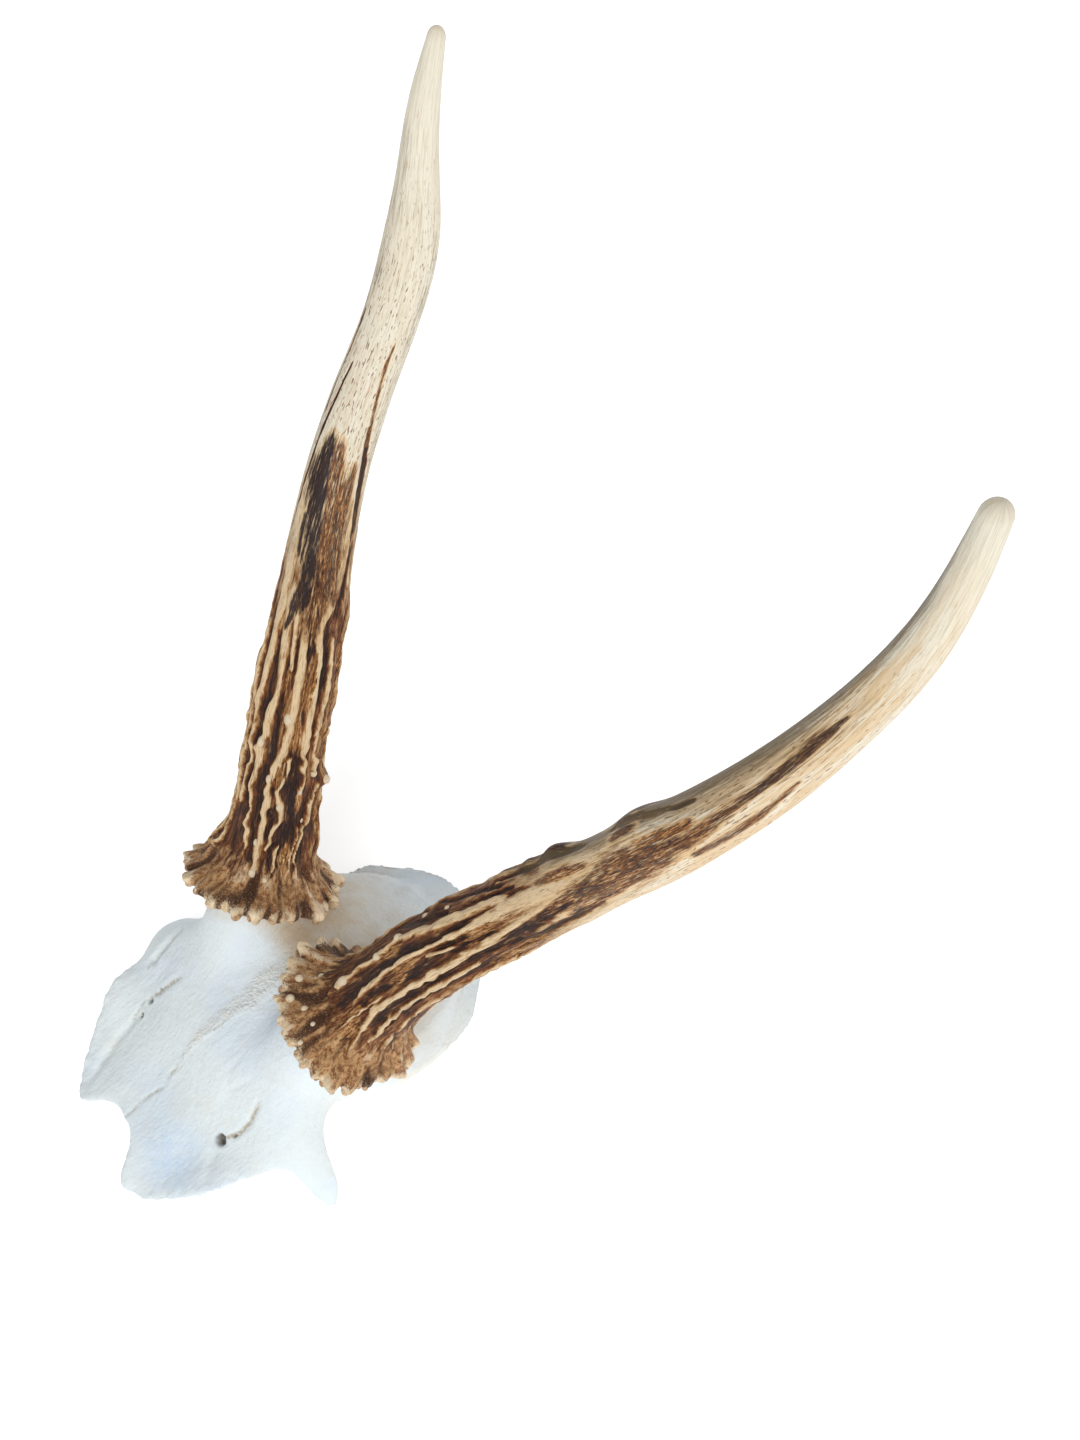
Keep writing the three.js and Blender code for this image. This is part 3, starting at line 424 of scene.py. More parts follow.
def normals_at(rows, columns, lift):
    step = 0.05
    r0, r1 = np.maximum(rows - step, 0), np.minimum(rows + step, LAST_ROW)
    c0, c1 = np.maximum(columns - step, -EDGE_COLUMN), np.minimum(columns + step, EDGE_COLUMN)
    along = lift(surface(NET, r1, columns)) - lift(surface(NET, r0, columns))
    across = lift(surface(NET, rows, c1)) - lift(surface(NET, rows, c0))
    return unit(np.cross(across, along))


def inner_net():
    normals = normals_at(np.arange(LAST_ROW + 1.0), np.arange(EDGE_COLUMN + 1.0), lambda p: p)
    net = []
    for r, row in enumerate(NET):
        line = []
        for c, point in enumerate(row):
            normal = normals[r, c]
            inward = np.array([-normal[0], -normal[1], 0])
            on_back = r == LAST_ROW
            on_side = r >= FIRST_SAWN_ROW and c == EDGE_COLUMN
            if c == 0:
                inward[0] = 0
            if on_back:
                inward = np.array([-point[0] * BACK_RIM_CONVERGES, -BACK_RIM_RADIUS, 0])
            if on_back or on_side:
                width = FLANGE_RIM if r >= FIRST_FLANGE_ROW else RIM_BONE
                x, y, _ = np.array(point) + unit(inward) * width
                line.append(sawn(x, y))
                continue
            on_spike = abs(r - SPIKE_ROW) <= 1 and c == EDGE_COLUMN - 1
            near_edge = c == EDGE_COLUMN or r == 0 or on_spike
            if r == SPIKE_ROW and c == EDGE_COLUMN:
                line.append(sawn(point[0] - SPIKE_BONE, point[1] + 1))
                continue
            if abs(r - SPIKE_ROW) == 1 and c == EDGE_COLUMN:
                way = SPIKE_FRONT_INWARD if r < SPIKE_ROW else SPIKE_BACK_INWARD
                line.append(tuple(np.array(point) + np.array(way) * SPIKE_BONE))
                continue
            near_rim = (r > FIRST_SAWN_ROW and c == EDGE_COLUMN - 1) or r == LAST_ROW - 1
            move = unit(inward) * RIM_BONE if near_rim else -normal * (EDGE_BONE if near_edge else BONE)
            line.append(tuple(np.array(point) + move))
        net.append(line)
    return net


def roof_shell(rows_per_step=10, columns_per_step=10):
    rows = np.linspace(0, LAST_ROW, LAST_ROW * rows_per_step + 1)
    columns = np.linspace(-EDGE_COLUMN, EDGE_COLUMN, 2 * EDGE_COLUMN * columns_per_step + 1)
    sheets = []
    for net, lift in ((NET, swollen), (inner_net(), lambda p: p)):
        sheet = seat(lift(surface(net, rows, columns)))
        sheet[..., 2] = np.maximum(sheet[..., 2], 0)
        sawn_rows = rows >= FIRST_SAWN_ROW
        sheet[sawn_rows, 0, 2] = sheet[sawn_rows, -1, 2] = 0
        sheet[-1, :, 2] = 0
        sheets.append(sheet)
    r, c = sheets[0].shape[:2]
    faces = [grid_faces(r, c), grid_faces(r, c, flip=True, start=r * c)]
    out, inn = np.arange(r * c).reshape(r, c), r * c + np.arange(r * c).reshape(r, c)
    for a, b in ((out[0][::-1], inn[0][::-1]), (out[-1], inn[-1]), (out[:, 0], inn[:, 0]),
                 (out[::-1, -1], inn[::-1, -1])):
        faces.append(np.stack([a[:-1], a[1:], b[1:], b[:-1]], -1))
    return np.concatenate([s.reshape(-1, 3) for s in sheets]), np.concatenate(faces)


ROOF_ROWS = np.arange(0, LAST_ROW + 0.01, 0.1)
ROOF_COLUMNS = np.arange(-TEMPLE_COLUMN, TEMPLE_COLUMN + 0.01, 0.1)
ROOF = swollen(surface(NET, ROOF_ROWS, ROOF_COLUMNS)).reshape(-1, 3)
ROOF_NORMALS = normals_at(ROOF_ROWS, ROOF_COLUMNS, swollen).reshape(-1, 3)


def roof_at(x, y):
    k = np.argmin((ROOF[:, 0] - x) ** 2 + (ROOF[:, 1] - y) ** 2)
    return ROOF[k], ROOF_NORMALS[k]


def seal_frame(side):
    axis = unit([side * BURR_AXIS[0], BURR_AXIS[1], BURR_AXIS[2]])
    e2 = np.array([0, -BURR_AXIS[2], BURR_AXIS[1]])
    e2 = unit(e2 - axis * (e2 @ axis))
    centre = np.array([side * BURR_CENTRE[0], BURR_CENTRE[1], BURR_CENTRE[2]], float)
    return axis, np.cross(e2, axis), e2, centre, centre - axis * RIM_ABOVE_SEAT


def tube(rings, start, end):
    """Closed tube through rings of points."""
    count, sides = rings.shape[:2]
    points = np.concatenate([rings.reshape(-1, 3), [start], [end]])
    faces = [tuple(f) for f in grid_faces(count, sides, wrap=True)]
    first, last = count * sides, count * sides + 1
    for j in range(sides):
        k = (j + 1) % sides
        faces.append((first, k, j))
        faces.append((last, (count - 1) * sides + j, (count - 1) * sides + k))
    return points, faces


def pedicle(side, sides=48, steps=14):
    axis, e1, e2, _, foot = seal_frame(side)
    top = foot - axis * SEAT_GAP
    t = np.linspace(0, 1, steps + 1)[:, None]
    rings = np.zeros((steps + 1, sides, 3))
    for j in range(sides):
        a = TAU * j / sides
        x = side * PEDICLE_FOOT[0] - PEDICLE_FOOT_RADII[0] * math.cos(a)
        y = PEDICLE_FOOT[1] - PEDICLE_FOOT_RADII[1] * math.sin(a)
        point, normal = roof_at(x, y)
        start = point - normal * PEDICLE_SUNK
        end = top + SEAT_RADIUS * (e1 * math.cos(a) + e2 * math.sin(a))
        lead = np.array([math.cos(a), math.sin(a), 0])
        lead = (unit(lead - normal * (lead @ normal)) * PEDICLE_FLATNESS + normal) * PEDICLE_FLARE
        leave = axis * PEDICLE_LEAVE
        rings[:, j] = (start * (2 * t ** 3 - 3 * t ** 2 + 1) + lead * (t ** 3 - 2 * t ** 2 + t)
                       + end * (3 * t ** 2 - 2 * t ** 3) + leave * (t ** 3 - t ** 2))
    point, normal = roof_at(side * PEDICLE_FOOT[0], PEDICLE_FOOT[1])
    return tube(seat(rings), seat(point - normal * PEDICLE_SUNK), seat(top))


def orbit_wall(side, steps=30):
    keys = []
    for top, middle, foot, lowest in ORBIT_WALL:
        high = roof_at(*top)[0][2] - PEDICLE_SUNK
        low = cut_at(foot[1]) if lowest is None else lowest
        keys.append([(*top, high), (*middle, (high + low) / 2), (*foot, low)])
    keys = np.array(keys)
    at = np.linspace(0, len(keys) - 1, steps + 1)
    fine = np.stack([np.stack([np.interp(at, np.arange(len(keys)), keys[:, k, d]) for d in range(3)], -1)
                     for k in range(3)], 1)
    run = unit(np.gradient(fine[:, 2, :2], axis=0))
    across = np.stack([-run[:, 1], run[:, 0], np.zeros(len(run))], -1)[:, None] * ORBIT_WALL_BONE / 2
    ring = np.concatenate([fine + across, (fine - across)[:, ::-1]], 1)
    ring[..., 0] *= side
    ring = seat(ring)
    ring[..., 2] = np.maximum(ring[..., 2], 0)
    if side > 0:
        ring = ring[:, ::-1]
    return tube(ring, ring[0].mean(0), ring[-1].mean(0))


VOXEL = 0.8


def fused(bodies):
    """One skin round overlapping closed bodies, as points (row frame, mm) and quads."""
    points, faces, offset = [], [], 0
    for p, f in bodies:
        points.append(p)
        faces += [tuple(int(v) + offset for v in face) for face in f]
        offset += len(p)
    rough = mesh_object("rough", np.concatenate(points), faces)
    remesh = rough.modifiers.new("skin", "REMESH")
    remesh.mode = "VOXEL"
    remesh.voxel_size = VOXEL * MM
    evaluated = rough.evaluated_get(bpy.context.evaluated_depsgraph_get())
    mesh = evaluated.to_mesh()
    out = np.zeros(len(mesh.vertices) * 3)
    mesh.vertices.foreach_get("co", out)
    quads = np.zeros(len(mesh.loops), int)
    mesh.loops.foreach_get("vertex_index", quads)
    evaluated.to_mesh_clear()
    data = rough.data
    bpy.data.objects.remove(rough)
    bpy.data.meshes.remove(data)
    return out.reshape(-1, 3) / MM, quads.reshape(-1, 4)


def relaxed(points, quads, share, rounds):
    """Moves points towards the mean of their neighbours, by share (per point), for a number of rounds."""
    edges = np.concatenate([quads[:, [k, (k + 1) % 4]] for k in range(4)])
    a, b = np.concatenate([edges, edges[:, ::-1]]).T
    count = np.bincount(a, minlength=len(points))[:, None]
    for _ in range(rounds):
        mean = np.stack([np.bincount(a, points[b, d], len(points)) for d in range(3)], -1) / count
        points = points + (mean - points) * share[:, None]
    return points


def vertex_normals(points, quads):
    p = points[quads]
    n = np.cross(p[:, 2] - p[:, 0], p[:, 3] - p[:, 1])
    out = np.stack([np.bincount(quads.ravel(), np.repeat(n[:, d], 4), len(points)) for d in range(3)], -1)
    return unit(out + 1e-12)


def near_path(x, y, path):
    """Distance to a line through points in X and Y, and how far along it (0 to 1) the nearest place is."""
    path = np.asarray(path, float)
    best = np.full(x.shape, 1e9)
    share = np.zeros(x.shape)
    for k in range(len(path) - 1):
        d = path[k + 1] - path[k]
        t = np.clip(((x - path[k, 0]) * d[0] + (y - path[k, 1]) * d[1]) / (d @ d), 0, 1)
        gap = np.hypot(x - path[k, 0] - t * d[0], y - path[k, 1] - t * d[1])
        closer = gap < best
        best = np.where(closer, gap, best)
        share = np.where(closer, (k + t) / (len(path) - 1), share)
    return best, share


# Marks of the bone, as X and Y in the skull frame: holes (x, y, radius, depth), furrows (path, half-width,
# depth, stain, that stain being partly brown stain and partly painted shade in the groove), and paths and
# places of the other marks.
HOLES = [(28.8, -1, 2.05, 3.2), (31.4, 4.1, 0.65, 1), (-29, 0.4, 1.25, 3.2), (-28.6, 6.2, 0.6, 1.2),
         (-27.2, -5.6, 1.1, 0.9)]
FURROWS = [
    ([(30, 2), (31.8, 6), (32.2, 12), (31, 17), (29.6, 21.5)], 1.6, 0.95, 0.85),
    ([(29.6, -4), (33, -9), (38.6, -13.6)], 3.6, 0.7, 0.12),
    ([(-28.4, 3), (-26.8, 9), (-25, 14), (-22.6, 19.8)], 2.2, 0.8, 0.65),
    ([(-39.8, 5), (-41.5, 14), (-42.6, 21), (-43, 26)], 3, 1.5, 0.4),
    ([(-28.2, -3), (-27.9, -9), (-26.6, -18), (-23, -28), (-18.6, -38)], 2.8, 0.9, 0.22),
    ([(-30.5, -2), (-29.5, -8), (-27.5, -12)], 1.1, 0.4, 0.5),
    ([(13, -30), (18, -24), (27, -20), (36, -19)], 1.5, 0.25, 0),
    ([(20, 12), (16, 18), (15, 27)], 1.5, 0.25, 0),
    ([(24, 24), (21, 14), (22, 8)], 1.8, 0.3, 0),
]
FOREHEAD_HOLLOW = [(10, 30), (12, 38), (11, 46)]
CREST = [(41, 62), (38.5, 72), (34, 81), (26, 89), (14, 95), (0, 98)]
CREST_BUMP = (-14, 93)
# Warm brown on the vault between and under the burrs: partly a brown stain, partly painted shade of the
# burrs and antlers.
WARM_STAIN_AND_SHADE_BETWEEN_BURRS = [(-22, 56), (-2, 58), (16, 56)]
WARM_STAIN_AND_SHADE_UNDER_BURR = [(-46, 46), (-38, 50), (-30, 56)]
BLUE_PATCH = (22, -20)
SAWN_BELOW = 1.2        # points under this height belong to the saw cut and stay level
SETTLE_ROUNDS, BLEND_ROUNDS = 4, 110


def near_pedicle(f):
    """1 where the skull's roof runs into a pedicle, 0 away from both."""
    blend = np.zeros(len(f))
    for side in (1, -1):
        axis, _, _, _, foot = seal_frame(side)
        off = f - foot
        height = off @ axis
        radial = np.linalg.norm(off - height[:, None] * axis, axis=1)
        blend = np.maximum(blend, smooth(44, 24, radial) * smooth(1.5, -4.5, height) * (f[:, 2] > -24))
    return blend


def suture(x, y):
    """Lift, stain and band of the midline: a rough raised band that widens to the back, a crack in front.
    The crack's stain is partly brown stain, partly painted shade in the crack.
    """
    spread = 0.9 + 5.2 * smooth(-4, 46, y)
    middle = 1.1 * noise2(y, 0 * y, 7, 31) * smooth(-20, 10, y)
    band = smooth(1, 0.35, np.abs(x - middle) / spread) * smooth(-8, 2, y) * smooth(64, 50, y)
    worms = np.abs(noise2(x * 1.2, y, 2.1, 32)) + 0.5 * np.abs(noise2(x, y * 1.1, 1.2, 33))
    wander = middle + 0.9 * noise2(y, 0 * y, 5, 34)
    crack = smooth(1.1, 0.1, np.abs(x - wander)) * smooth(4, -5, y) * (0.6 + 0.4 * noise2(y, 0 * y, 4, 39))
    return band * (0.1 + 0.5 * (worms - 0.35)) - 0.8 * crack, 0.7 * crack + 0.02 * band, band


def forehead_marks(x, y):
    """Lift, stain and holes of the furrows and foramina. The furrows' stain is partly brown stain, partly
    painted shade in the grooves; the holes' mask is painted shade in the foramina.
    """
    lift, stain, holes = np.zeros((3, len(x)))
    for path, half, depth, dark in FURROWS:
        gap, along = near_path(x, y, path)
        lift -= depth * smooth(1, 0, gap / half) * smooth(0, 0.15, along) * smooth(1, 0.8, along)
        stain = np.maximum(stain, dark * smooth(0.8, 0, gap / half) * smooth(1, 0.7, along))
    for hole_x, hole_y, radius, depth in HOLES:
        gap = np.hypot(x - hole_x, y - hole_y)
        lift -= depth * smooth(radius * 1.15, radius * 0.6, gap)
        # the foramina's mouths get painted shade of the holes' depth
        holes = np.maximum(holes, smooth(radius * 1.1, radius * 0.75, gap))
    return lift, stain, holes


def unevenness(x, y):
    hollow, _ = near_path(x, y, FOREHEAD_HOLLOW)
    waves = 0.34 * noise2(x, y, 13, 35) + 0.18 * noise2(x, y, 5.5, 36) + 0.07 * noise2(x, y, 2, 37)
    return waves - 0.4 * smooth(8, 0, hollow)


def ragged_margins(x, y):
    """Broken natural edges of the orbits and spikes, on both sides."""
    edges = mirrored(NET)[:SPIKE_ROW + 1]
    rough = 0.45 * noise2(x, y, 2.6, 40) + 0.3 * noise2(x, y, 1.3, 41) - 0.1
    return sum(rough * smooth(4.5, 0.8, near_path(x, y, edges[:, column, :2])[0]) for column in (0, -1))


def crest(x, y):
    """Nuchal crest: a groove inside an outer band, with a bump on the right."""
    groove = np.minimum(near_path(x, y, CREST)[0], near_path(-x, y, CREST)[0])
    bump = np.hypot(x - CREST_BUMP[0], y - CREST_BUMP[1])
    return 1.2 * smooth(5, 0, bump) - 0.8 * smooth(3.2, 0, groove)


def skull_cap():
    points, quads = fused([roof_shell(), pedicle(1), pedicle(-1), orbit_wall(1), orbit_wall(-1)])
    low = points[:, 2] < SAWN_BELOW
    blend = near_pedicle(unseat(points))
    points = relaxed(points, quads, np.where(low, 0, 0.5), SETTLE_ROUNDS)
    points = relaxed(points, quads, 0.7 * blend * ~low, BLEND_ROUNDS)
    normal = vertex_normals(points, quads)
    f = unseat(points)
    x, y, z = f.T
    up = (turn_back(normal)[:, 2] > 0.15) & (z > -30)
    on_vault = (normal[:, 2] > 0.05) & (y > 55)
    seam_lift, seam_stain_and_shade, band = suture(x, y)
    mark_lift, mark_stain_and_shade, holes = forehead_marks(x, y)
    lift = up * (seam_lift + mark_lift + unevenness(x, y)) + on_vault * crest(x, y)
    points = points + normal * (lift + ragged_margins(x, y) * ~low)[:, None]
    points[low, 2] = np.maximum(points[low, 2], 0)
    points[(points[:, 2] < 0.6) & (normal[:, 2] < -0.5), 2] = 0
    # warm brown behind and under the burrs: partly brown stain, partly painted shade of the burrs and
    # antlers
    warm = (0.9 * smooth(40, 8, near_path(x, y, WARM_STAIN_AND_SHADE_BETWEEN_BURRS)[0]) * smooth(48, 58, y)
            + 0.85 * smooth(16, 5, near_path(x, y, WARM_STAIN_AND_SHADE_UNDER_BURR)[0]))
    # stain is partly brown stain, partly painted shade in the furrows and the crack; hole is painted shade
    # in the foramina
    return mesh_object("skull_cap_bone", points, quads, dict(
        place=f, stain=up * np.maximum(seam_stain_and_shade, mark_stain_and_shade), painted_hole_shade=up * holes, suture=smooth(0.2, 1, band),
        warm=np.clip(warm, 0, 0.9),
        cool=0.75 * smooth(17, 4, np.hypot(x - BLUE_PATCH[0], y - BLUE_PATCH[1])),
        inside=smooth(0.1, -0.3, normal[:, 2]) * (points[:, 2] < 60),
    ))


# ---- antlers: shapes and markings ----


def beam_line(side, beam):
    """Points of the beam's middle line, and their distances along it from the burr's rim."""
    _, _, _, rim, foot = seal_frame(side)
    points = np.array([foot, rim, *beam], float)
    steps = np.linalg.norm(np.diff(points, axis=0), axis=1)
    return points, np.concatenate([[0], np.cumsum(steps)]) - RIM_ABOVE_SEAT


def beam_frames(side, beam, stations):
    axis, _, e2, rim, _ = seal_frame(side)
    points, distances = beam_line(side, beam)
    end = distances[-1]
    centre = spline(distances, points, stations)
    ahead = spline(distances, points, np.minimum(stations + 0.5, end))
    behind = spline(distances, points, np.minimum(stations, end - 0.5))
    tangent = unit(ahead - behind)
    base = stations <= 0
    tangent[base] = axis
    centre[base] = rim + axis * stations[base, None]
    ups = np.zeros_like(centre)
    up = e2
    for k, ahead in enumerate(tangent):
        up = unit(up - ahead * (up @ ahead))
        ups[k] = up
    return centre, tangent, np.cross(ups, tangent), ups


def antler_profile(spec, end):
    """Distances and radii of the rings from the seal to the tip, and the burr's share of relief in each."""
    tip_radius = spec["girth"][-1][1]
    round_from = end - tip_radius * TIP_ROUNDNESS
    burr = np.array([(-RIM_ABOVE_SEAT, SEAT_RADIUS, 0.1), *BURR])
    beam = np.array(spec["girth"], float)
    run = np.concatenate([[0], np.cumsum(np.hypot(np.diff(burr[:, 0]), np.diff(burr[:, 1])))])
    fine = np.arange(0, run[-1], 0.5)
    foot = np.stack([np.interp(fine, run, burr[:, k]) for k in range(3)], -1)
    kernel = np.array([1, 2, 3, 2, 1]) / 9
    for k in (1, 2):
        padded = np.concatenate([[foot[0, k]] * 2, foot[:, k], [foot[-1, k]] * 2])
        foot[:, k] = np.convolve(padded, kernel, "valid")
    rest = [foot[-1, 0] + 0.5]
    while rest[-1] < round_from:
        rest.append(rest[-1] + 0.52 + 1.25 * float(smooth(70, 260, rest[-1])))
    rest = np.array(rest[:-1] + [round_from])
    radius = np.where(rest < beam[0, 0],
                      np.interp(rest, [burr[-1, 0], beam[0, 0]], [burr[-1, 1], beam[0, 1]]),
                      spline(beam[:, 0], beam[:, 1], np.maximum(rest, beam[0, 0])))
    body = np.stack([rest, radius, np.interp(rest, [9.2, 14], [0.3, 0])], -1)
    quarter = np.radians(np.arange(8, 90, 8))
    cap = np.stack([round_from + (end - round_from) * np.sin(quarter), radius[-1] * np.cos(quarter),
                    0 * quarter], -1)
    return np.concatenate([foot, body, cap])


END_SHARE = 0.45        # how much a distance past a line's end counts, beside one across it


def line_reach(path, s, angle, radius):
    """How far a point is from a line, in half-widths (below 1 is on the line), and the half-width."""
    at, degrees, half = np.array(sorted(path), float).T
    off = wrapped(np.degrees(angle) - np.interp(s, at, degrees), 360)
    beyond = np.maximum(np.maximum(at[0] - s, s - at[-1]), 0)
    width = np.interp(s, at, half)
    return np.hypot(np.radians(off) * radius, beyond * END_SHARE) / width, width


def seen_share(spec, s, angle):
    """1 where the ridges are drawn as lines, 0 on the far side, where they come from noise alone."""
    low, high = spec["seen"]
    end, degrees = spec["grooves_end"], np.degrees(angle)
    seen = smooth(low - 12, low + 8, degrees) * smooth(high + 12, high - 8, degrees)
    return seen * smooth(end + 10, end - 30, s) * smooth(2, 12, s)


def markings(spec, s, angle, radius):
    """Field that is 1 on ridges and -1 in grooves, and how plain, rusty and stained the surface is."""
    seed = spec["seed"]
    around = angle / TAU
    plain = smooth(spec["grooves_end"] * 0.45, spec["grooves_end"], s)
    seen = seen_share(spec, s, angle)
    wander = (2.2 * (wrap_noise(around * 7, s / 34, 7, seed) - 0.5)
              + 0.9 * (wrap_noise(around * 15, s / 13, 15, seed + 1) - 0.5))
    broken = ripple(around, s, 29, 15, seed + 2, 0.8 * wander)
    fine = ripple(around, s, 61, 6, seed + 3, wander)
    tiny = ripple(around, s, 97, 2.6, seed + 4, 2 * wander)
    rough = 0.5 * broken + 0.35 * fine + 0.2 * tiny
    level = (-0.18 - 0.1 * smooth(70, 30, s)) * (1 - plain) + 1.5 * plain
    lined = level + 0.75 * np.cos(TAU * (around * RIDGES + wander)) * (1 - plain) + rough
    quiet = level - 0.2 * (1 - plain) + 0.6 * rough
    field = np.clip(lined * (1 - seen) + quiet * seen, -1, 1)

    jag = 0.5 * fine + 0.4 * tiny + 0.35 * broken
    for sign, paths in ((-1, spec["grooves"]), (1, spec["ridges"])):
        for number, path in enumerate(paths):
            shake = wrap_noise(7.0 * number + 0 * s, s / 2.6, 256, seed + 23) - 0.5
            shake = math.radians(spec["shake"]) * shake * smooth(80, 45, s)
            reach, width = line_reach(path, s, angle + shake, radius)
            if sign > 0:
                swell = wrap_noise(0 * s + number, s / 3.4, 64, seed + 21) - 0.5
                reach = reach / ((1 - 0.3 * smooth(65, 40, s)) * (1 + 0.9 * swell * smooth(90, 50, s)))
            weight = smooth(1.9, 0.5, reach + jag * np.minimum(0.9 / width, 1.4))
            field = field * (1 - weight) + sign * weight

    rust = smooth(0.56, 0.72, wrap_noise(around * 13 + 0.5 * wander, s / 14, 13, seed + 6)) * (1 - seen)
    for at, degrees, length, half in spec["rust"]:
        across = np.radians(wrapped(np.degrees(angle) - degrees, 360)) * radius
        rust = np.maximum(rust, smooth(1.3, 0.5, np.hypot((s - at) / length, across / half)))
    stain, tone = np.zeros_like(s), np.ones_like(s)
    for shade, path in spec["stains"]:
        amount = smooth(2.2, 0.3, line_reach(path, s, angle, radius)[0])
        tone = np.where(amount > stain, shade, tone)
        stain = np.maximum(stain, amount)
    return field, plain, rust, stain, tone


def beam_relief(seed, s, angle, radius, field, plain, stain):
    """Height of the ridges with their beads, of broad waves and of a fine grain."""
    around = angle / TAU
    on_beam = smooth(3, 14, s)
    taper = np.clip(radius / 10, 0, 1)
    knots = np.clip(ripple(around, s, 46, 4.2, seed + 11), 0, 1) * smooth(0, 0.8, field) * smooth(110, 60, s)
    waves = (ripple(around, s, 11, 21, seed + 12) - 0.2) * smooth(5, 20, s) * smooth(270, 200, s)
    grain = ripple(around, s, 70, 2.2, seed + 16) * on_beam * (1 - 0.8 * plain)
    ridges = (0.8 * field - 0.6) * on_beam * (1 - 0.85 * plain) * taper * (1 - 0.6 * stain)
    return ridges + 0.9 * knots * on_beam + 0.3 * waves + 0.12 * grain


def burr_relief(seed, s, angle, share, teeth_at):
    """Height of the burr's scallops, teeth, ribs and knobs, and the marks that colour it."""
    around = angle / TAU
    lobes = np.cos(TAU * around * LOBES) + 0.9 * (wrap_noise(around * 13, 0 * s, 13, seed + 9) - 0.5)
    bend = 0.12 * (wrap_noise(around * 9, s / 8, 9, seed + 17) - 0.5) * smooth(0, 6, s)
    teeth = np.zeros_like(s)
    for place, size, width in teeth_at:
        teeth += size * np.exp(-(wrapped(angle + bend - place, TAU) * 24 / width) ** 2)
    run = smooth(-4, -1.2, s) * (0.15 + 0.85 * smooth(3.4, 1.0, s)) * smooth(15, 5, s)
    curl = wrap_noise(around * 9, s / 7, 9, seed + 19)
    knobs = ripple(around, s, 38, 2.6, seed + 15)
    grit = ripple(around, s, 90, 1.1, seed + 18)
    ribs = ripple(around, s, 27, 11, seed + 20, 0.6 * curl)
    flutes = ripple(around, s, 74, 9, seed + 22, 0.9 * curl)
    skirt = smooth(-3, 0, s) * smooth(22, 7, s)
    rough = 0.6 * knobs + 0.22 * grit + 1.1 * ribs + 0.4 * flutes - 0.3
    height = lobes * share + teeth * run + rough * skirt
    gaps = (0.9 * smooth(-2.5, 0, s) * smooth(5, 1, s) * smooth(0.9, 0.1, teeth)
            + 0.12 * smooth(3, 7, s) * smooth(18, 12, s))
    marks = dict(
        rim=smooth(-3.5, -1.5, s) * smooth(3.6, 0.8, s) * smooth(0.2, 1.4, teeth), burr=smooth(17, 6, s),
        deep=np.clip(gaps - (0.3 * knobs + 0.8 * ribs + 0.8 * flutes) * skirt, 0, 3),
        proud=np.clip((teeth * run + 0.3 * knobs + 0.6 * ribs + 0.8 * flutes) * skirt, 0, 2),
    )
    return height, marks


def shades_and_gloom(spec, s, angle, radius):
    """Broad soft darkening of the beam, painted shade along its edges and a few brown tints, and the dark
    side of the burr.
    """
    shade = np.zeros_like(s)
    for strength, path in spec["shades"]:
        shade = np.maximum(shade, strength * smooth(1.6, 0.2, line_reach(path, s, angle, radius)[0]))
    low, high = np.radians(spec["dark_burr"])
    half, fade_out, fade_in = (high - low) / 2, math.radians(35), math.radians(15)
    gloom = smooth(math.cos(half + fade_out), math.cos(half - fade_in), np.cos(angle - (low + high) / 2))
    return shade, gloom


def ellipsoid(centre, axes, radii, around, along=7):
    a = np.arange(around) * TAU / around
    b = np.linspace(0, math.pi, along + 1)[1:-1]
    out, up = np.sin(b)[:, None], np.cos(b)[:, None]
    rings = np.stack([out * np.cos(a), out * np.sin(a), up + 0 * a], -1)
    points, faces = tube(rings, (0, 0, 1), (0, 0, -1))
    return centre + (points * np.asarray(radii)) @ np.asarray(axes), [face[::-1] for face in faces]


COLUMNS = 248
TEETH = 40
BEAD_FACES = 10         # steps round the ellipsoid of a tooth's tip or a pearl
PEARL_SCALE = 0.85      # the pearls' listed sizes are a little large
GRAIN_STRETCH = 5       # how much longer than wide the antler's grain is
GRAIN_CORE = 9          # the grain's frame keeps this radius where the beam is thinner, so it runs straight


def beads(spec, rng, teeth_at):
    """Teeth's tips, then pearls: distance, angle, three radii, how far sunk, and if on the rim."""
    tips = [(rng.uniform(-1.6, 0.6), place, 0.75 + 0.42 * size, rng.uniform(0.8, 1.2))
            for place, size, _ in teeth_at]
    for at, place, size, stretch in tips:
        yield at, place, size * np.array([1.3, 0.9, stretch]), 0.9 * size, True
    for at, degrees, size, stretch in spec["pearls"]:
        size *= PEARL_SCALE
        yield at, math.radians(degrees), size * np.array([1, 0.9, stretch]), 0.55 * size, False


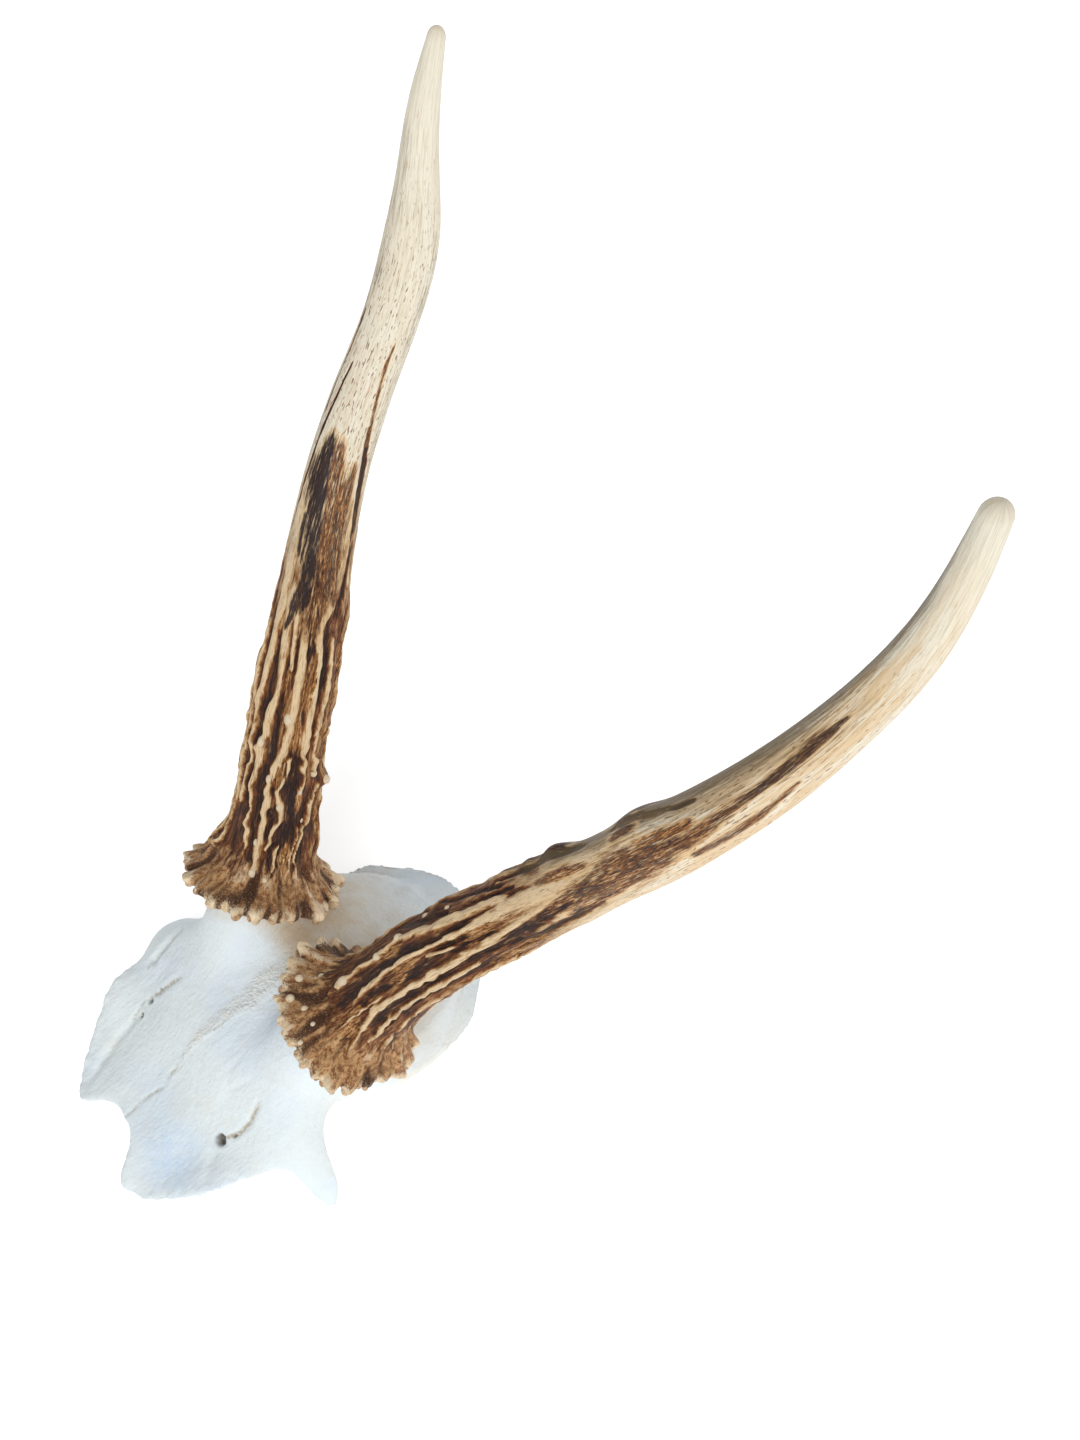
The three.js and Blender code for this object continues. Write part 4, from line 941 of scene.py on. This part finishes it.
def antler(spec):
    side, beam, seed = spec["side"], spec["beam"], spec["seed"]
    end = beam_line(side, beam)[1][-1]
    s1, radius1, share1 = antler_profile(spec, end).T
    centre, tangent, e1, e2 = beam_frames(side, beam, s1)
    s, angle = np.meshgrid(s1, np.arange(COLUMNS) * TAU / COLUMNS, indexing="ij")
    radius, share = radius1[:, None] + 0 * s, share1[:, None] + 0 * s
    rng = np.random.default_rng(seed)
    places = TAU * (np.arange(TEETH) + rng.uniform(-0.3, 0.3, TEETH)) / TEETH
    sizes = rng.uniform(0.5, 2.8, TEETH)
    teeth_at = list(zip(places, sizes, rng.uniform(1.1, 2.0, TEETH)))

    field, plain, rust, stain, tone = markings(spec, s, angle, radius)
    height, burr_marks = burr_relief(seed, s, angle, share, teeth_at)
    height += beam_relief(seed, s, angle, radius, field, plain, stain)
    for at, degrees, rise, reach in spec["lumps"]:
        off = wrapped(angle - math.radians(degrees), TAU)
        height += rise * np.exp(-(((s - at) / reach) ** 2 + (off * radius / reach) ** 2))
    height *= smooth(-RIM_ABOVE_SEAT, -RIM_ABOVE_SEAT + 0.8, s)
    reach = (radius + height)[..., None]
    ring = (centre[:, None] + e1[:, None] * reach * np.cos(angle)[..., None]
            + e2[:, None] * reach * np.sin(angle)[..., None])
    points, faces = tube(ring, centre[0], np.array(beam[-1], float))

    # shade holds painted shade along the beam's edges, with a few brown tints
    shade, gloom = shades_and_gloom(spec, s, angle, radius)
    marks = dict(ridge=field, plain=plain, rust=rust, stain=stain, tone=tone, shade=shade, gloom=gloom,
                 along=s / end, bead=0 * s, warmth=spec["warmth"] + 0 * s, **burr_marks)
    values = {k: np.concatenate([v.ravel(), [v[0, 0], v[-1, 0]]]) for k, v in marks.items()}
    core = np.maximum(radius, GRAIN_CORE)
    strand = np.stack([core * np.cos(angle), core * np.sin(angle), s / GRAIN_STRETCH], -1).reshape(-1, 3)
    values["strand"] = np.concatenate([strand, [[0, 0, s1[0] / GRAIN_STRETCH], [0, 0, end / GRAIN_STRETCH]]])

    for at, place, radii, sunk, on_rim in beads(spec, rng, teeth_at):
        i = int(np.argmin(np.abs(s1 - at)))
        j = int(round(place / TAU * COLUMNS)) % COLUMNS
        out = e1[i] * math.cos(place) + e2[i] * math.sin(place)
        axes = np.array([out, np.cross(tangent[i], out), tangent[i]])
        more, more_faces = ellipsoid(ring[i, j] - out * sunk, axes, radii, BEAD_FACES)
        faces += [tuple(v + len(points) for v in face) for face in more_faces]
        points = np.concatenate([points, more])
        fill = dict.fromkeys(values, 0) | dict(
            ridge=1, tone=1, rim=0.35 + 0.4 * rng.random(), burr=float(on_rim), along=at / end, proud=0.6,
            bead=0 if on_rim else 0.6)
        for k in values:
            values[k] = np.concatenate([values[k], more if k == "strand" else np.full(len(more), fill[k])])
    return mesh_object(spec["node"] + "_surface", seat(points), faces, values)


# ---- materials ----


class Shader:
    """Small helper that adds shader nodes with their inputs."""

    def __init__(self, name):
        self.material = bpy.data.materials.new(name)
        self.material.use_nodes = True
        self.tree = self.material.node_tree
        self.tree.nodes.clear()

    def node(self, kind, ins=None, **settings):
        node = self.tree.nodes.new(kind)
        for key, value in settings.items():
            setattr(node, key, value)
        for key, value in (ins or {}).items():
            if isinstance(value, bpy.types.NodeSocket):
                self.tree.links.new(value, node.inputs[key])
            else:
                node.inputs[key].default_value = value
        return node

    def read(self, name):
        return self.node("ShaderNodeAttribute", attribute_name=name).outputs["Fac"]

    def vector(self, name):
        return self.node("ShaderNodeAttribute", attribute_name=name).outputs["Vector"]

    def noise(self, at, scale, detail=3.0, rough=0.55, stretch=None):
        if stretch:
            at = self.node("ShaderNodeMapping", {"Vector": at, "Scale": stretch}).outputs[0]
        return self.node("ShaderNodeTexNoise", {"Vector": at, "Scale": scale, "Detail": detail,
                                                "Roughness": rough}).outputs["Fac"]

    def math(self, operation, a, b=0.0):
        return self.node("ShaderNodeMath", {0: a, 1: b}, operation=operation).outputs[0]

    def times(self, a, b):
        return self.math("MULTIPLY", a, b)

    def total(self, *values):
        out = values[0]
        for value in values[1:]:
            out = self.math("ADD", out, value)
        return out

    def centred(self, value, gain):
        """Noise moved to lie round 0 instead of 0.5, times a gain."""
        return self.times(self.math("SUBTRACT", value, 0.5), gain)

    def step(self, value, low, high, to_low=0.0, to_high=1.0):
        return self.node("ShaderNodeMapRange", {"Value": value, "From Min": low, "From Max": high,
                                                "To Min": to_low, "To Max": to_high},
                         interpolation_type="SMOOTHSTEP").outputs[0]

    def mix(self, amount, a, b, blend="MIX"):
        node = self.node("ShaderNodeMix", {0: amount}, data_type="RGBA", blend_type=blend)
        for index, value in ((6, a), (7, b)):
            if isinstance(value, bpy.types.NodeSocket):
                self.tree.links.new(value, node.inputs[index])
            else:
                node.inputs[index].default_value = (*value, 1)
        return node.outputs[2]

    def layers(self, colour, *layers):
        """A colour under layers (value, low, high, strength, tint) that set in from low to high."""
        for value, low, high, strength, tint in layers:
            colour = self.mix(self.step(value, low, high, 0, strength), colour, tint)
        return colour

    def finish(self, colour, roughness, height, strength, distance, **more):
        bump = self.node("ShaderNodeBump", {"Height": height, "Strength": strength, "Distance": distance})
        ins = {"Base Color": colour, "Roughness": roughness, "Normal": bump.outputs[0]}
        ins.update(more)
        bsdf = self.node("ShaderNodeBsdfPrincipled", ins)
        self.node("ShaderNodeOutputMaterial", {"Surface": bsdf.outputs[0]})
        return self.material


BUMP_DISTANCE = 0.0008

IVORY = (0.81, 0.76, 0.63)
IVORY_GREY = (0.50, 0.45, 0.32)
IVORY_WARM = (0.70, 0.47, 0.23)
CREAM = (0.74, 0.56, 0.34)
PEARL = (0.86, 0.78, 0.62)
TAN = (0.47, 0.26, 0.10)
ORANGE = (0.47, 0.21, 0.06)
RED_BROWN = (0.23, 0.078, 0.026)
DARK_BROWN = (0.070, 0.026, 0.012)
NEAR_BLACK = (0.020, 0.010, 0.008)
PURPLE_BLACK = (0.024, 0.013, 0.012)
MOTTLE = (0.17, 0.064, 0.021)
# painted shade of the beam's edges, also used for a few brown tints
SHADE_AND_TINT_BROWN = (0.12, 0.08, 0.035)
BURR_TAN = (0.60, 0.35, 0.155)
BURR_BROWN = (0.28, 0.11, 0.036)
BURR_DARK = (0.075, 0.028, 0.011)
RIM_CREAM = (0.86, 0.70, 0.48)


def antler_noises(m):
    """Noises along the strand, which is longer than wide, and the attributes that several looks read."""
    strand = m.vector("strand")
    n = SimpleNamespace(
        grain=m.noise(strand, 0.8, 4, 0.62),
        fine=m.noise(strand, 3.0, 3, 0.6),
        speck=m.noise(strand, 2.6, 0, 0.5),
        pore=m.noise(strand, 1.5, 1, 0.5, stretch=(1, 1, 0.8)),
        streak=m.noise(strand, 1.5, 4, 0.62, stretch=(1, 1, 0.35)),
        fibre=m.noise(strand, 3.2, 3, 0.6, stretch=(1, 1, 0.3)),
        broad=m.noise(strand, 0.13, 3, 0.5),
        along=m.read("along"),
        plain=m.read("plain"),
    )
    rough = m.total(m.centred(n.grain, 1.6), m.centred(n.fine, 1.3), m.centred(n.streak, 2.2),
                    m.centred(n.fibre, 1.0))
    n.edge = m.total(m.read("ridge"), m.times(m.step(n.plain, 0, 1, 1, 0.35), rough))
    return n


def grooved(m, n):
    """From near black at the bottom of a groove to cream on top of a ridge."""
    return m.layers(
        NEAR_BLACK,
        (n.edge, -1.1, -0.55, 1, DARK_BROWN),
        (n.edge, -0.6, -0.1, 1, RED_BROWN),
        (n.edge, -0.15, 0.35, 1, TAN),
        (n.edge, 0.3, 0.9, 1, CREAM),
        (n.fibre, 0.54, 0.66, 0.5, RED_BROWN),
    )


def rusted(m, n, colour):
    """Rusty stretches between the ridges."""
    flecks = m.total(m.times(n.fine, 0.5), m.times(n.streak, 0.5))
    rusty = m.layers(DARK_BROWN, (flecks, 0.42, 0.54, 1, ORANGE), (flecks, 0.53, 0.62, 0.8, CREAM))
    where = m.total(m.times(m.read("rust"), m.step(n.edge, 0.9, 0.3)), m.centred(n.grain, 2))
    return m.layers(colour, (where, 0.25, 0.85, 1, rusty))


def plain_above(m, n, colour):
    """Ivory further up, with grey streaks, warm areas, dots and fibres, and the beam's soft darkening:
    painted shade along its edges, with a few brown tints.
    """
    ivory = m.layers(CREAM, (n.along, 0.25, 0.6, 1, IVORY), (n.streak, 0.44, 0.66, 0.5, IVORY_GREY))
    areas = m.step(m.total(n.broad, m.centred(n.streak, 0.5)), 0.36, 0.6, 0.1, 0.75)
    tinted = m.times(m.read("warmth"), areas)
    ivory = m.mix(m.times(tinted, m.step(n.along, 1.0, 0.8)), ivory, IVORY_WARM)
    dots = m.math("MAXIMUM", m.step(n.speck, 0.68, 0.74), m.step(n.pore, 0.7, 0.75))
    ivory = m.mix(m.times(dots, m.step(n.along, 0.95, 0.7, 0, 0.8)), ivory, MOTTLE)
    threads = m.times(m.step(n.fibre, 0.54, 0.66), m.step(n.along, 1.0, 0.6, 0.05, 0.55))
    ivory = m.layers(m.mix(threads, ivory, TAN), (n.along, 0.985, 1.0, 0.15, TAN))
    colour = m.mix(m.times(n.plain, m.step(n.edge, -0.2, 0.6)), colour, ivory)
    # painted shade along the beams' edges, with a few brown tints
    shade = m.read("shade")
    dim = m.total(shade, m.times(m.step(shade, 0, 0.3), m.centred(n.streak, 1.5)))
    return m.layers(colour, (dim, 0.05, 0.95, 0.85, SHADE_AND_TINT_BROWN))


def stained(m, n, colour):
    """Stains over everything, mottled or purple-black by their tone, with a warm halo."""
    amount = m.read("stain")
    inner = m.step(amount, 0.0, 0.2)
    halo = m.step(m.total(amount, m.centred(n.streak, 0.8)), 0.0, 0.3, 0, 0.65)
    colour = m.mix(m.times(halo, m.times(inner, m.step(n.edge, -0.2, 0.4))), colour, IVORY_WARM)
    ragged = m.total(amount, m.centred(n.grain, 1.3), m.centred(n.streak, 2.6), m.centred(n.fibre, 1.4))
    blend = m.total(n.streak, m.centred(n.fine, 0.5), m.centred(n.fibre, 0.6))
    mottled = m.layers(NEAR_BLACK, (blend, 0.40, 0.50, 1, MOTTLE), (blend, 0.52, 0.63, 1, ORANGE),
                       (blend, 0.60, 0.70, 0.7, CREAM))
    purple = m.layers(PURPLE_BLACK, (n.fine, 0.5, 0.75, 0.3, MOTTLE))
    covered = m.times(m.step(ragged, 0.2, 0.85), inner)
    return m.mix(covered, colour, m.mix(m.read("tone"), purple, mottled))


def burr_colours(m, n, colour):
    """The burr's skirt, its cream ribs and teeth, and the pearls."""
    dark = m.total(m.times(m.read("deep"), 1.3), m.centred(n.broad, 0.8), m.centred(n.fine, 2.2),
                   m.times(m.read("gloom"), 0.55), -0.5)
    ribs = m.total(m.read("proud"), m.centred(n.fine, 1.6), m.centred(n.grain, 1.2))
    skirt = m.layers(
        BURR_BROWN,
        (m.total(n.grain, m.centred(n.fine, 0.6)), 0.38, 0.6, 1, BURR_TAN),
        (dark, 0.0, 0.85, 1, BURR_DARK),
        (ribs, 0.5, 1.4, 0.75, RIM_CREAM),
        (n.fibre, 0.56, 0.68, 0.35, RIM_CREAM),
    )
    amount = m.total(m.read("burr"), m.centred(n.grain, 2.5))
    teeth = m.total(m.read("rim"), m.centred(n.fine, 1.4), m.centred(n.grain, 0.8))
    tooth = m.layers(RIM_CREAM, (n.grain, 0.46, 0.64, 0.6, BURR_TAN))
    colour = m.layers(colour, (amount, 0.2, 0.9, 1, skirt), (teeth, 0.25, 0.85, 1, tooth))
    pearl = m.layers(PEARL, (n.fine, 0.42, 0.62, 0.7, CREAM))
    return m.mix(m.times(m.read("bead"), m.step(n.grain, 0.3, 0.5, 0.6, 1)), colour, pearl)


def antler_material():
    m = Shader("antler")
    n = antler_noises(m)
    colour = grooved(m, n)
    for layer in (rusted, plain_above, stained, burr_colours):
        colour = layer(m, n, colour)
    height = m.total(m.times(m.step(n.edge, -0.6, 0.6), 0.5), m.times(n.grain, 0.5), m.times(n.fine, 0.45),
                     m.times(n.fibre, 0.4))
    bumps = m.times(height, m.step(n.plain, 0.2, 1, 1, 0.25))
    roughness = m.step(n.edge, -0.4, 0.5, 0.62, 0.5)
    return m.finish(colour, roughness, bumps, 0.8, BUMP_DISTANCE, **{"Specular IOR Level": 0.28})


BONE_WHITE = (0.79, 0.86, 0.88)
BONE_COOL = (0.71, 0.82, 0.93)
BONE_BLUE = (0.60, 0.74, 0.92)
BONE_CREAM = (0.80, 0.73, 0.58)
# partly brown stain, partly painted shade behind and under the burrs
BONE_WARM_STAIN_AND_SHADE = (0.64, 0.51, 0.34)
# partly brown stain, partly painted shade in the furrows and the crack
BONE_STAIN_AND_SHADE = (0.40, 0.32, 0.18)
# painted shade inside the foramina
HOLE_SHADE_BROWN = (0.14, 0.12, 0.10)


def bone_material():
    m = Shader("bone")
    place = m.vector("place")
    cloud = m.noise(place, 0.03, 3, 0.5)
    patchy = m.noise(place, 0.12, 3, 0.5)
    grain = m.noise(place, 0.9, 4, 0.6)
    fine = m.noise(place, 3.2, 3, 0.6)
    brushed = m.noise(place, 0.7, 4, 0.6, stretch=(1.0, 0.3, 1.0))
    swirl = m.noise(place, 0.35, 3, 0.65)
    colour = m.layers(BONE_WHITE, (cloud, 0.45, 0.7, 0.6, BONE_COOL), (patchy, 0.5, 0.7, 0.16, BONE_CREAM))
    # Behind and under the burrs the bone turns warm brown: partly stain, partly painted shade.
    for name, mottle, tint in (("cool", m.step(swirl, 0.35, 0.6, 0.4, 1), BONE_BLUE),
                               ("warm", m.step(patchy, 0.3, 0.65, 0.6, 1), BONE_WARM_STAIN_AND_SHADE),
                               ("suture", m.step(grain, 0.4, 0.65, 0.1, 0.4), BONE_CREAM)):
        colour = m.mix(m.times(m.read(name), mottle), colour, tint)
    # brown in the furrows and the crack: partly stain, partly painted shade in the grooves
    stain = m.times(m.read("stain"), m.step(grain, 0.3, 0.6, 0.5, 1.2))
    colour = m.layers(colour, (stain, 0.05, 0.9, 0.8, BONE_STAIN_AND_SHADE))
    # painted shade inside the foramina
    colour = m.mix(m.read("painted_hole_shade"), colour, HOLE_SHADE_BROWN)
    colour = m.mix(m.times(m.read("inside"), m.step(cloud, 0.3, 0.7, 0.3, 0.7)), colour, BONE_CREAM)
    worms = m.math("ABSOLUTE", m.math("SUBTRACT", m.noise(place, 0.6, 2, 0.5), 0.5))
    relief = m.total(m.times(grain, 0.5), m.times(fine, 0.2), m.times(brushed, 1.1), m.times(swirl, 1.2),
                     m.times(m.times(worms, m.read("suture")), 5))
    return m.finish(colour, 0.55, relief, 0.55, BUMP_DISTANCE)


# ---- the object ----

bone = bone_material()
antler_bone = antler_material()

cap = skull_cap()
cap.data.materials.append(bone)
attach(cap, "root")
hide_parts("skull_cap")

for spec in (RIGHT, LEFT):
    piece = antler(spec)
    piece.data.materials.append(antler_bone)
    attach(piece, "root")
    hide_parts(spec["node"])

# ---- floor, light and camera ----

scene = bpy.context.scene
scene.view_settings.view_transform = "Standard"


def plain_material(name, colour, roughness, glow):
    m = Shader(name)
    bsdf = m.node("ShaderNodeBsdfPrincipled", {"Base Color": (*colour, 1), "Roughness": roughness,
                                               "Emission Color": (1, 1, 1, 1), "Emission Strength": glow})
    m.node("ShaderNodeOutputMaterial", {"Surface": bsdf.outputs[0]})
    return m.material


FLOOR_HALF = 4000
FLOOR_BELOW = 0.05      # mm under the saw cut, so that the two faces don't flicker
FLOOR_WHITE = (0.88, 0.89, 0.9)
FLOOR_ROUGHNESS = 0.9
FLOOR_GLOW = 0.5
corners = [(x * FLOOR_HALF, y * FLOOR_HALF, -FLOOR_BELOW) for x, y in ((-1, -1), (1, -1), (1, 1), (-1, 1))]
floor = mesh_object("floor", corners, [(0, 1, 2, 3)])
floor.data.materials.append(plain_material("floor", FLOOR_WHITE, FLOOR_ROUGHNESS, FLOOR_GLOW))

SKY_WHITE = (0.97, 0.985, 1, 1)
SKY_STRENGTH = 0.45
world = bpy.data.worlds.new("studio")
world.use_nodes = True
scene.world = world
background = world.node_tree.nodes["Background"]
background.inputs["Color"].default_value = SKY_WHITE
background.inputs["Strength"].default_value = SKY_STRENGTH

CAMERA_PLACE = (192.48, 174.82, 400.48)
CAMERA_RIGHT = (0.555, 0.7749, -0.3024)
CAMERA_DOWN = (0.6896, -0.632, -0.3537)
LENS = 32.5
SENSOR = 36
CLIP_START, CLIP_END = 0.01, 20

right, down = unit(turn(CAMERA_RIGHT)), unit(turn(CAMERA_DOWN))
down = unit(down - right * (down @ right))
back = np.cross(right, -down)
camera = bpy.data.objects.new("camera", bpy.data.cameras.new("camera"))
scene.collection.objects.link(camera)
camera.data.lens = LENS
camera.data.sensor_width = SENSOR
camera.data.clip_start, camera.data.clip_end = CLIP_START, CLIP_END
camera.matrix_world = Matrix.Translation((seat(CAMERA_PLACE) * MM).tolist()) @ Matrix(
    np.stack([right, -down, back], 1).tolist()).to_4x4()
scene.camera = camera


LIT_HEIGHT = 0.08       # metres over the floor at which the light is aimed
KEY_FROM = (0.6, -0.13, 0.79)
KEY_DISTANCE = 5
KEY_SIZE = 4.5
KEY_POWER = 168
KEY_WHITE = (1, 0.99, 0.97)


def area_light(name, direction, distance, size, power, colour):
    """Soft light that shines on the object's middle from a direction in the row frame."""
    data = bpy.data.lights.new(name, "AREA")
    data.shape = "DISK"
    data.size = size
    data.energy = power
    data.color = colour
    lamp = bpy.data.objects.new(name, data)
    scene.collection.objects.link(lamp)
    way = unit(direction)
    side = unit(np.cross((0.1, 0.2, 1), way))
    lamp.matrix_world = Matrix.Translation((way * distance + (0, 0, LIT_HEIGHT)).tolist()) @ Matrix(
        np.stack([side, np.cross(way, side), way], 1).tolist()).to_4x4()


area_light("key", turn(KEY_FROM), KEY_DISTANCE, KEY_SIZE, KEY_POWER, KEY_WHITE)
